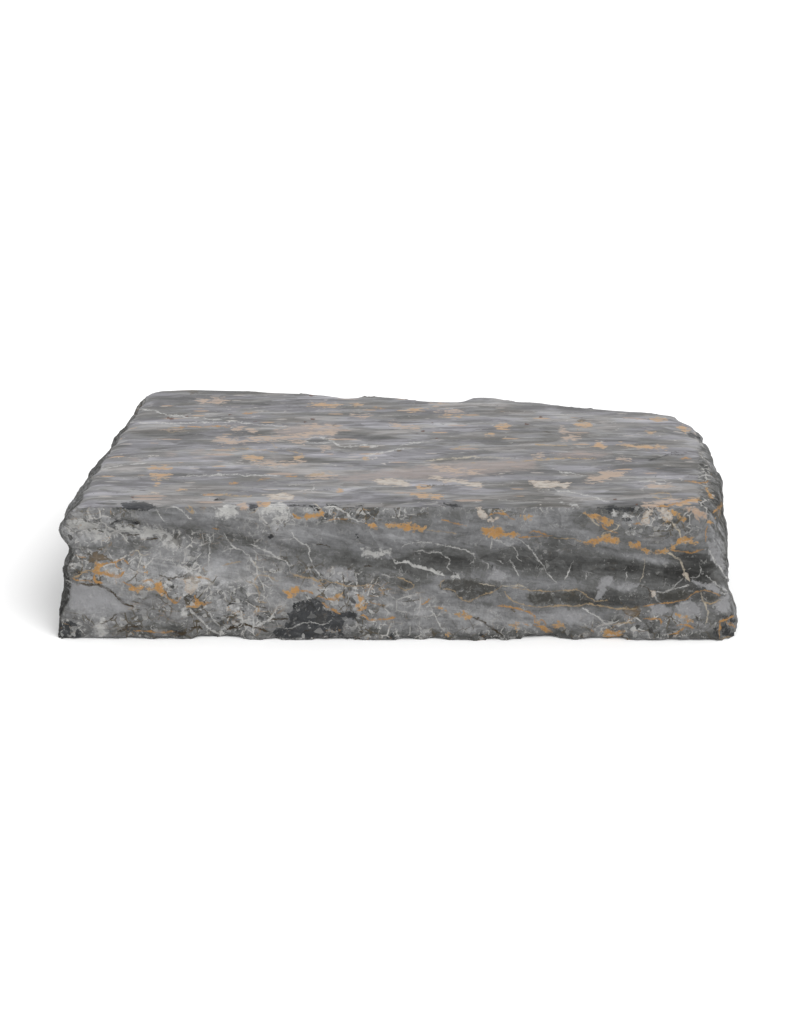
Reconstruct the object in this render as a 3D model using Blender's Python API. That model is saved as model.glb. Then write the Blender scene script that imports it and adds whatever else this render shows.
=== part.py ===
"""Marble block: one stone with a flat worked top, rough-hewn sides and a sawn underside.

Metres, +Z up. X runs along the block, the front faces -Y, and the block stands on Z = 0.
A primitive cube is cut into a fine grid, and its points are moved onto the outline of the block.
The faces are then broken up as hewn stone breaks, a Decimate modifier leaves triangles where the relief is,
and a Boolean cut makes the underside flat.
"""

import math
from bisect import bisect_right

import bmesh
import bpy
from mathutils import Vector, noise

# Driving dimensions.
HEIGHT = 0.248
HALF_LENGTH = 0.565
HALF_DEPTH = 0.337
RAW_SHARE = 0.05  # raw stone below the underside that the saw cut takes off, as a share of the height
GRID_STEP = 0.0072
TRIANGLES = 10000  # left by Decimate, before the saw cut
SHARP_ANGLE = math.radians(30)

# Edges of the top in plan, as (position along the edge, place of the edge).
TOP_FRONT = ((-0.56, -0.339), (-0.35, -0.338), (0.0, -0.341), (0.35, -0.342), (0.56, -0.346))
TOP_BACK = (
    (-0.51, 0.331),
    (-0.46, 0.336),
    (-0.27, 0.314),
    (-0.17, 0.299),
    (-0.12, 0.308),
    (-0.06, 0.286),
    (0.0, 0.264),
    (0.08, 0.256),
    (0.098, 0.264),
    (0.115, 0.286),
    (0.2, 0.277),
    (0.3, 0.24),
    (0.4, 0.222),
    (0.47, 0.212),
    (0.49, 0.202),
)
TOP_LEFT = ((-0.33, -0.567), (-0.2, -0.562), (-0.02, -0.546), (0.16, -0.529), (0.33, -0.513))
TOP_RIGHT = ((-0.34, 0.563), (-0.2, 0.573), (-0.02, 0.586), (0.1, 0.589), (0.22, 0.583))

# How far each side stands out beyond the top's edge, as (share of the height, distance).
FLARE_FRONT = (
    (0.0, 0.014),
    (0.16, 0.014),
    (0.38, 0.005),
    (0.56, -0.006),
    (0.72, 0.004),
    (0.88, 0.006),
    (1.0, 0.0),
)
FLARE_LEFT = (
    (0.0, 0.037),
    (0.12, 0.036),
    (0.3, 0.027),
    (0.48, 0.027),
    (0.6, 0.014),
    (0.7, 0.026),
    (0.82, 0.022),
    (0.93, 0.01),
    (1.0, 0.0),
)
FLARE_RIGHT = (
    (0.0, 0.028),
    (0.12, 0.027),
    (0.33, 0.016),
    (0.42, 0.012),
    (0.5, 0.013),
    (0.77, 0.002),
    (1.0, 0.0),
)
FLARE_BACK = ((0.0, 0.018), (0.25, 0.016), (0.5, 0.004), (0.7, 0.009), (1.0, 0.0))

# How far the hollow along the front climbs towards its left-hand end, as (position along the front, rise).
HOLLOW_RISE = ((-0.56, 0.32), (-0.36, 0.24), (-0.12, 0.06), (0.02, 0.0))
# How far the hollows of the other sides wander up and down, and over what length.
WANDER = 0.3
WANDER_LENGTH = 0.2

# Roundings of the upright corners, as (radius along X, radius along Y).
CORNER_RADII = {
    ("left", "front"): (0.02, 0.03),
    ("right", "front"): (0.045, 0.035),
    ("left", "back"): (0.03, 0.02),
    ("right", "back"): (0.09, 0.11),
}

# Roundings of the top's rims, as (radius in from the side, radius down from the top).
RIM_FRONT = (0.012, 0.011)
RIM_BACK = (0.012, 0.014)
RIM_LEFT = (0.013, 0.03)
RIM_RIGHT = (0.05, 0.03)

# The top falls away towards its right-hand back corner.
DIP_DEPTH = 0.011
DIP_CENTRE = Vector((0.62, 0.32))
DIP_REACH = 0.5

# Facets of the broken stone: their slope and their step out or in, and how far two run together.
# The slope is for one break's size, the step is a share of its depth, and the edge is a share of its size.
FACET_SLOPE = 1.3
FACET_STEP = 0.6
FACET_EDGE = 0.1
# Multipliers that give each facet a slope and a step of its own.
SLOPE_SEED = 17.3
STEP_SEED = 31.7

# Broken relief, as (size of one break along X, Y and Z, depth of the breaks).
BREAKS_FRONT = ((0.15, 0.09, 0.055), 0.0034)
BREAKS_ENDS = ((0.075, 0.065, 0.1), 0.0075)
BREAKS_BACK = ((0.1, 0.07, 0.07), 0.0078)
FINE_BREAKS = ((0.035, 0.032, 0.028), 0.0018)
# Wavy relief, in the same terms.
LUMPS = ((0.2, 0.16, 0.12), 0.003)
TOP_WAVES = ((0.34, 0.09, 0.2), 0.0011)
# Upward parts of the normals between which the hewn sides turn into the worked top.
HEWN_TO_WORKED = (0.35, 0.85)

# Pieces spalled off by the pitching chisel, as (centre, radius, depth).
SPALLS = (
    ((0.555, 0.075, 0.25), 0.05, 0.006),
    ((0.575, -0.05, 0.235), 0.04, 0.006),
    ((0.58, -0.335, 0.2), 0.07, 0.012),
    ((-0.318, -0.352, 0.0), 0.05, 0.011),
    ((0.247, -0.354, 0.0), 0.06, 0.011),
    ((0.36, -0.352, 0.0), 0.05, 0.005),
    ((-0.1, 0.31, 0.25), 0.05, 0.008),
    ((0.24, 0.3, 0.22), 0.06, 0.01),
    ((-0.33, 0.345, 0.1), 0.09, 0.012),
    ((0.09, 0.3, 0.06), 0.08, 0.01),
    ((0.46, 0.26, 0.12), 0.08, 0.01),
)

# Scallops that the chisel left along the left-hand rim: pitch, radius and depth.
SCALLOP_PITCH = 0.078
SCALLOP_RADIUS = 0.045
SCALLOP_DEPTH = 0.007


def clear_scene():
    for obj in list(bpy.data.objects):
        bpy.data.objects.remove(obj, do_unlink=True)


def new_collection(name):
    collection = bpy.data.collections.new(name)
    bpy.context.scene.collection.children.link(collection)
    return collection


def along(points, position):
    """Value at a position on a smooth curve through (position, value) points, level beyond its ends."""
    places = [place for place, _ in points]
    values = [value for _, value in points]
    if position <= places[0]:
        return values[0]
    if position >= places[-1]:
        return values[-1]
    i = bisect_right(places, position) - 1
    span = places[i + 1] - places[i]
    t = (position - places[i]) / span

    def slope(k):
        low, high = max(k - 1, 0), min(k + 1, len(places) - 1)
        return (values[high] - values[low]) / (places[high] - places[low])

    start = (1 + 2 * t) * (1 - t) ** 2 * values[i] + t * (1 - t) ** 2 * span * slope(i)
    end = t * t * (3 - 2 * t) * values[i + 1] - t * t * (1 - t) * span * slope(i + 1)
    return start + end


def eased(share):
    """A share held between 0 and 1, leaving 0 and reaching 1 gently."""
    share = min(1.0, max(0.0, share))
    return share * share * (3 - 2 * share)


def rounded(u, v, radii):
    """Distances in from two faces that meet, changed so that their corner becomes an arc."""
    s = 1 - u / radii[0]
    t = 1 - v / radii[1]
    if s <= 0 or t <= 0:
        return u, v
    pull = max(s, t) / math.hypot(s, t)
    return radii[0] * (1 - s * pull), radii[1] * (1 - t * pull)


def bent(w, rise):
    """A share of the height, shifted by the rise at mid-height and by nothing at the top and the bottom."""
    return w + 4 * rise * max(0.0, w * (1 - w))


def outline(a, b, w):
    """Place on the block of a point of the cube, whose plan is -1 to 1 and whose height is 0 to 1."""
    in_x = (1 - abs(a)) * HALF_LENGTH
    in_y = (1 - abs(b)) * HALF_DEPTH
    down = (1 - w) * HEIGHT
    in_x, down = rounded(in_x, down, RIM_RIGHT if a > 0 else RIM_LEFT)
    in_y, down = rounded(in_y, down, RIM_BACK if b > 0 else RIM_FRONT)
    corner = ("right" if a > 0 else "left", "back" if b > 0 else "front")
    in_x, in_y = rounded(in_x, in_y, CORNER_RADII[corner])
    a = math.copysign(1 - in_x / HALF_LENGTH, a)
    b = math.copysign(1 - in_y / HALF_DEPTH, b)
    w = 1 - down / HEIGHT

    x, y = a * HALF_LENGTH, b * HALF_DEPTH
    climb = along(HOLLOW_RISE, x)
    wander = WANDER * noise.noise(Vector((x, y, 0)) / WANDER_LENGTH)
    left = along(TOP_LEFT, y) - along(FLARE_LEFT, bent(w, wander))
    right = along(TOP_RIGHT, y) + along(FLARE_RIGHT, bent(w, wander))
    front = along(TOP_FRONT, x) - along(FLARE_FRONT, bent(w, -climb))
    back = along(TOP_BACK, x) + along(FLARE_BACK, bent(w, wander))
    x = left + (right - left) * (a + 1) / 2
    y = front + (back - front) * (b + 1) / 2
    top = HEIGHT - DIP_DEPTH * eased(1 - (Vector((x, y)) - DIP_CENTRE).length / DIP_REACH)
    return Vector((x, y, w * top))


def scaled(point, size):
    return Vector((point.x / size[0], point.y / size[1], point.z / size[2]))


def facet(place, centre):
    """Height of one flat facet at a place, with a slope and a step that belong to its centre."""
    slope = 2 * noise.cell_vector(centre * SLOPE_SEED) - Vector((1, 1, 1))
    step = noise.cell(centre * STEP_SEED)
    return FACET_SLOPE * slope.dot(place - centre) + FACET_STEP * step


def broken(point, breaks):
    """Height of broken stone at a point: flat facets, one to each break, run together at their edges."""
    size, depth = breaks
    place = scaled(point, size)
    distances, centres = noise.voronoi(place)
    height = total = 0.0
    for distance, centre in zip(distances, centres, strict=True):
        share = max(0.0, 1 - (distance - distances[0]) / FACET_EDGE)
        height += share * facet(place, centre)
        total += share
    return depth * height / total


def waved(point, waves):
    """Height of gentle waves at a point."""
    size, depth = waves
    return depth * noise.fractal(scaled(point, size), 1.0, 2.0, 3)


def scallops():
    """Spalls in a row along the left-hand rim."""
    count = round(2 * HALF_DEPTH / SCALLOP_PITCH)
    for i in range(count):
        y = (i + 0.5) * SCALLOP_PITCH - HALF_DEPTH
        x = along(TOP_LEFT, y) - RIM_LEFT[0]
        yield (x, y, HEIGHT - RIM_LEFT[1] / 2), SCALLOP_RADIUS, SCALLOP_DEPTH


def spalled(point, spalls):
    """How deep the chisel's spalls go at a point."""
    depth = 0.0
    for centre, radius, deepest in spalls:
        share = (point - Vector(centre)).length / radius
        depth = max(depth, deepest * (1 - share * share))
    return depth


def relief(point, normal, spalls):
    """Height of the relief at a point, out along the normal."""
    hewn_slope, worked_slope = HEWN_TO_WORKED
    flatness = eased((abs(normal.z) - hewn_slope) / (worked_slope - hewn_slope))
    frontness = max(0.0, -normal.y) ** 2
    backness = max(0.0, normal.y) ** 2
    endness = normal.x**2
    hewn = (
        frontness * broken(point, BREAKS_FRONT)
        + backness * broken(point, BREAKS_BACK)
        + endness * broken(point, BREAKS_ENDS)
        + broken(point, FINE_BREAKS)
        + waved(point, LUMPS)
    )
    return (1 - flatness) * hewn + flatness * waved(point, TOP_WAVES) - spalled(point, spalls)


def parallel_edges(bm, axis):
    """The edges that run along one axis."""
    others = [k for k in range(3) if k != axis]
    return [e for e in bm.edges if all(abs(e.verts[0].co[k] - e.verts[1].co[k]) < 1e-6 for k in others)]


def cube_grid():
    """A cube from -1 to 1 in plan and from -RAW_SHARE to 1 in height, with cells of GRID_STEP on the block."""
    bm = bmesh.new()
    bmesh.ops.create_cube(bm, size=2)
    for axis, length in enumerate((2 * HALF_LENGTH, 2 * HALF_DEPTH, HEIGHT)):
        cuts = round(length / GRID_STEP) - 1
        bmesh.ops.subdivide_edges(bm, edges=parallel_edges(bm, axis), cuts=cuts, use_grid_fill=True)
    for vert in bm.verts:
        vert.co.z = (1 + RAW_SHARE) * (vert.co.z + 1) / 2 - RAW_SHARE
    return bm


def hewn_mesh():
    """The block before its saw cut."""
    bm = cube_grid()
    for vert in bm.verts:
        vert.co = outline(*vert.co)
    bm.normal_update()
    spalls = (*SPALLS, *scallops())
    for vert in bm.verts:
        vert.co += vert.normal * relief(vert.co, vert.normal, spalls)
    mesh = bpy.data.meshes.new("marble_block")
    bm.to_mesh(mesh)
    bm.free()
    mesh.shade_smooth()
    mesh.set_sharp_from_angle(angle=SHARP_ANGLE)
    return mesh


def marble():
    material = bpy.data.materials.new("grey_marble")
    material.use_nodes = True
    shader = material.node_tree.nodes["Principled BSDF"]
    shader.inputs["Base Color"].default_value = (0.24, 0.245, 0.25, 1)
    shader.inputs["Roughness"].default_value = 0.5
    return material


def saw_cutter(collection):
    """A box whose top face is the cut that the block stands on."""
    sides = (4 * HALF_LENGTH, 4 * HALF_DEPTH, HEIGHT)
    bpy.ops.mesh.primitive_cube_add(size=1, location=(0, 0, -HEIGHT / 2), scale=sides)
    cutter = bpy.context.object
    cutter.name = "saw_cut"
    cutter.hide_render = True
    cutter.display_type = "WIRE"
    bpy.context.collection.objects.unlink(cutter)
    collection.objects.link(cutter)
    return cutter


def marble_block(collection, cutter):
    mesh = hewn_mesh()
    mesh.materials.append(marble())
    block = bpy.data.objects.new("marble_block", mesh)
    collection.objects.link(block)
    decimate = block.modifiers.new("fewer_faces", "DECIMATE")
    decimate.ratio = TRIANGLES / (2 * len(mesh.polygons))
    cut = block.modifiers.new("saw_cut", "BOOLEAN")
    cut.operation = "DIFFERENCE"
    cut.solver = "EXACT"
    cut.object = cutter
    return block


def centre_on_origin(block):
    """Moves the block in plan until the middle of its box is over the origin."""
    bpy.context.view_layer.update()
    corners = [Vector(c) for c in block.evaluated_get(bpy.context.evaluated_depsgraph_get()).bound_box]
    for axis in (0, 1):
        places = [corner[axis] for corner in corners]
        block.location[axis] = -(min(places) + max(places)) / 2


def main():
    clear_scene()
    cutter = saw_cutter(new_collection("cutters"))
    block = marble_block(new_collection("marble_block"), cutter)
    centre_on_origin(block)


main()
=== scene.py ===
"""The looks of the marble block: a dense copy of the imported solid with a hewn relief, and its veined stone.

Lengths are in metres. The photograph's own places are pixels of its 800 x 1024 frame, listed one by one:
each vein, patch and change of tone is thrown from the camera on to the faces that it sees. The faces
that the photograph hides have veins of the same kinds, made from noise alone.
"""
import math
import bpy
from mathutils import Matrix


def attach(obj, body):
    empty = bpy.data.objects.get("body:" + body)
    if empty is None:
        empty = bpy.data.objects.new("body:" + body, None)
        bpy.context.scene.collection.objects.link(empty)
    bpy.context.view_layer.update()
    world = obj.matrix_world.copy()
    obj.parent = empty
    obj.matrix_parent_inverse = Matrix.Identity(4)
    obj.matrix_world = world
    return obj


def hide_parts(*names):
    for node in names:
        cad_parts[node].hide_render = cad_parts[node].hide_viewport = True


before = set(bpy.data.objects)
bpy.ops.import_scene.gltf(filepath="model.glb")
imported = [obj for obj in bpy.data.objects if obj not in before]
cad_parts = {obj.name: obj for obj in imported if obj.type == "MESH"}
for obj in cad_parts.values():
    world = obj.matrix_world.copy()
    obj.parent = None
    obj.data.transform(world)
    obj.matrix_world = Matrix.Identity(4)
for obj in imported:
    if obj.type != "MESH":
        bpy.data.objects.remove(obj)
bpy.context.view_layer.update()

from types import SimpleNamespace

import bmesh
import bpy
import numpy as np
from mathutils import Vector, noise

# The photograph's camera: in front of the block, and tilted this many degrees down.
CAMERA_AT = (-0.0102, -3.6465, 1.5066)
CAMERA_PITCH = 21.0
CAMERA_LENS = 72.0
CAMERA_SENSOR = 36.0
CAMERA_REACH = 100.0
PHOTO_WIDTH = 800
PHOTO_HEIGHT = 1024

# The mesh: its even squares, the rounded foot that is cut off, and the smoothing of the squares' steps.
VOXEL = 0.0062
SAW_CUT = 0.0042
SMOOTH_ROUNDS = 3
SMOOTH_SHARE = 0.5
SHARP_ANGLE = math.radians(40)
# The squares that are quartered: those of the front, of its rim, and of the upper part of both ends.
FRONT_NORMAL_Y = -0.42
RIM_HEIGHT = 0.236
RIM_FRONT_Y = -0.285
RIM_NORMAL_Z = 0.3
END_HEIGHT = 0.19
END_NORMAL_X = 0.3
END_NORMAL_Z = 0.97

# Where the stone is worked smooth, where it is the front and where the camera sees it. Each pair is a
# part of a normal or a height, and the share goes from 0 to 1 between its two values.
WORKED_FACING = (0.74, 0.92)
WORKED_HEIGHT = (0.205, 0.232)
FRONT_FACING = (0.2, 0.6)
SEEN_FACING = (0.02, 0.12)

# The chips of the hewn sides: their size, tilt, step and the share of their size where two run together.
CHIP_SIZE = 0.034
CHIP_TILT = 0.2
CHIP_STEP = 0.003
CHIP_EDGE = 0.14
CHIP_ON_FRONT = 0.95
CHIP_SEED = 5
# Multipliers that give each chip a tilt and a step of its own.
TILT_SPREAD = 3.7
STEP_SPREAD = 5.1
# The beds that stand out in ledges: each grows out up to its brink, a share of its height, and falls back.
LEDGE_HEIGHT = 0.021
LEDGE_DEPTH = 0.0034
LEDGE_SLOPE = -0.16
LEDGE_BRINK = 0.86
LEDGE_WANDER = (9.0, 0.020)
LEDGE_PLACES = (13.0, Vector((7, 1, 3)), 0.35)
LEDGE_OFF_FRONT = 0.4
# What is left of the chips and ledges where the stone is calm.
CALM_RELIEF = 0.35
# Roughness, as (noise per metre, depth), and on the top as (noise per metre along X, along Y and Z, depth).
ROUGH = ((16.0, 0.0024), (52.0, 0.0018), (170.0, 0.0009))
TOP_ROUGH = ((4.0, 16.0, 0.0005), (30.0, 90.0, 0.00010))
# Below this height the relief moves points sideways only, so that the foot stays on the floor.
FOOT_HEIGHT = 0.012

# How far from its line or outline, in pixels, a mark still has a say.
REACH = 6.0
# Past the core's distance, a line's half width falls away by this much a pixel. It also tapers over
# this many pixels at the ends, from this share of it at the tip.
LINE_CORE = 3.0
LINE_FALL = 1.5
LINE_TAPER = 7.0
LINE_TIP = 0.45
# What a layer of lines holds where there is none: distance, half width and kind.
NO_WIDTH = -2.0
NO_LINE = (REACH, NO_WIDTH, 0.0)

# How deep each kind of line is carved, and how far to each side of it, in pixels.
WHITE, CREAM, TAN, OCHRE, BROWN, DARK = range(6)
LINE_DEPTH = {WHITE: -0.0002, CREAM: 0.0, TAN: 0.0003, OCHRE: 0.0003, BROWN: 0.0014, DARK: 0.0024}
LINE_GROOVE = 2.2
# How deep the slate patches are carved, and the pixels inside their outline over which they fall to that.
SLATE_DEPTH = 0.0012
SLATE_EDGE = (-0.5, 2.0)

# Veins and cracks: kind, half width in pixels, and the pixels that the line runs through.
TOP_LINES = {
    "white line at the back": (WHITE, 0.55, [
        (136, 408.6), (147, 410), (158, 412), (164, 414.5), (177, 416), (191, 417.7), (211, 419),
        (223, 419.6)]),
    "long white line": (WHITE, 0.6, [
        (126, 421.4), (139, 422.5), (155, 423), (187, 423.3), (234, 422), (250, 424), (266, 425),
        (287, 426.5)]),
    "thin white line near the front": (WHITE, 0.4, [(177, 476.7), (215, 474.6), (250, 475.4), (281, 476)]),
    "white line over the left": (WHITE, 0.5, [(101, 470), (118, 466), (132, 464), (146, 462.5)]),
    "loop's upper side": (TAN, 0.45, [(166, 429.7), (171, 427.7), (179, 428), (185, 429.4), (190, 430)]),
    "loop's lower side": (TAN, 0.45, [(166, 430), (171, 431.8), (180, 431.8), (186, 430.6)]),
    "ochre dashes": (OCHRE, 0.75, [(178, 427.3), (185, 427.1)]),
    "ochre line at the left": (OCHRE, 0.7, [(188, 426.8), (202, 426.4), (216, 426), (231, 426)]),
    "ochre dash at the back": (OCHRE, 0.6, [(242, 413.4), (250, 413), (258, 412.6)]),
    "tan line in the middle": (TAN, 0.5, [(212, 449.6), (236, 449), (263, 450), (279, 452)]),
    "tan arc": (TAN, 0.7, [(271, 442.4), (274, 445.6), (280, 447.4)]),
    "tan hook": (TAN, 0.7, [(288, 450), (301, 454), (300, 457), (293, 460)]),
    "white ring's upper side": (WHITE, 0.45, [
        (304, 441), (310, 438.4), (320, 437.6), (329, 439.4), (332, 441.6)]),
    "white ring's lower side": (WHITE, 0.45, [(305, 441.6), (313, 443), (322, 443.4), (332, 441.4)]),
    "white line from the ring": (WHITE, 0.9, [
        (332, 440), (337, 445), (352, 446.4), (365, 445.6), (379, 446.4)]),
    "white line to the right": (WHITE, 0.5, [
        (406, 448.3), (397, 449.6), (387, 451.6), (374, 453.6), (365, 455.2)]),
    "ochre dash low": (OCHRE, 0.8, [(284, 477), (298, 476.2)]),
    "soft ochre dash": (TAN, 0.9, [(308, 475.4), (325, 474.6)]),
    "ochre slip": (OCHRE, 0.9, [(257, 481), (263, 479.4), (269, 478.8)]),
    "small ochre slip": (OCHRE, 0.8, [(228, 483.2), (239, 482.4)]),
    "ochre dash at the rim": (OCHRE, 0.7, [(203, 495.2), (215, 494.8)]),
    "tan dash at the rim": (TAN, 0.9, [(217, 495), (230, 495.3), (252, 496.2)]),
    "dark slot": (DARK, 1.0, [(213.8, 499.2), (225, 498.8)]),
    "tan speck": (TAN, 0.8, [(303, 493.5), (308, 492.7)]),
    "white twist": (WHITE, 0.5, [(313, 486), (315, 488.4), (312, 490), (314, 492)]),
    "thin ochre": (OCHRE, 0.6, [(373, 407.8), (386, 408.6)]),
    "peach thread": (TAN, 0.6, [(452, 448.8), (460, 447), (470, 444.8)]),
    "thread by the pink": (TAN, 0.5, [(470, 462.3), (476, 461.5)]),
    "red line": (BROWN, 0.8, [(540, 428.8), (546, 431), (551, 432)]),
    "tan line at the right": (TAN, 0.7, [(534, 444.8), (550, 445.3), (568, 445.3)]),
    "thin white at the right": (WHITE, 0.45, [(556, 470.3), (563, 472.7), (576, 474.3), (589, 476)]),
    "white line to the rim": (WHITE, 0.5, [
        (547, 487), (560, 491), (573, 492), (586, 495), (598, 499), (610, 502)]),
    "white network": (WHITE, 0.5, [(643, 482.6), (651, 481), (659, 483.6), (666, 482.4)]),
    "ochre line at the rim": (OCHRE, 0.8, [(683, 481.2), (697, 482), (709, 482)]),
    "crack at the right": (DARK, 0.7, [
        (648, 460.5), (656, 458.3), (662, 455.2), (670, 453.6), (686, 453.6)]),
    "ochre by the crack": (OCHRE, 0.6, [(680, 458.3), (692, 458.3)]),
    "lens edge": (TAN, 0.5, [
        (649, 493.6), (659, 492.6), (670, 493.4), (671, 496), (662, 498.2), (652, 496.6)]),
    "light thread": (CREAM, 0.5, [(424, 461), (450, 458), (486, 457), (512, 459)]),
    "pink thread": (TAN, 0.8, [(520, 460.6), (560, 458.4), (596, 458.6)]),
    "white at the back": (WHITE, 0.5, [(398, 446), (411, 443), (424, 441.6)]),
    "dark thread": (BROWN, 0.45, [(420, 486.6), (446, 484.6), (452, 487)]),
    "dark dashes on the rim": (DARK, 0.9, [(287, 505.4), (296, 505.2), (306, 505.4)]),
    "more dark dashes": (DARK, 0.9, [(326, 505), (341, 505)]),
    "last dark dash": (DARK, 0.8, [(355, 505.5), (364, 505.5)]),
    "dark strip": (DARK, 1.1, [(600, 506.2), (612, 505.8), (621, 507)]),
}
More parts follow.
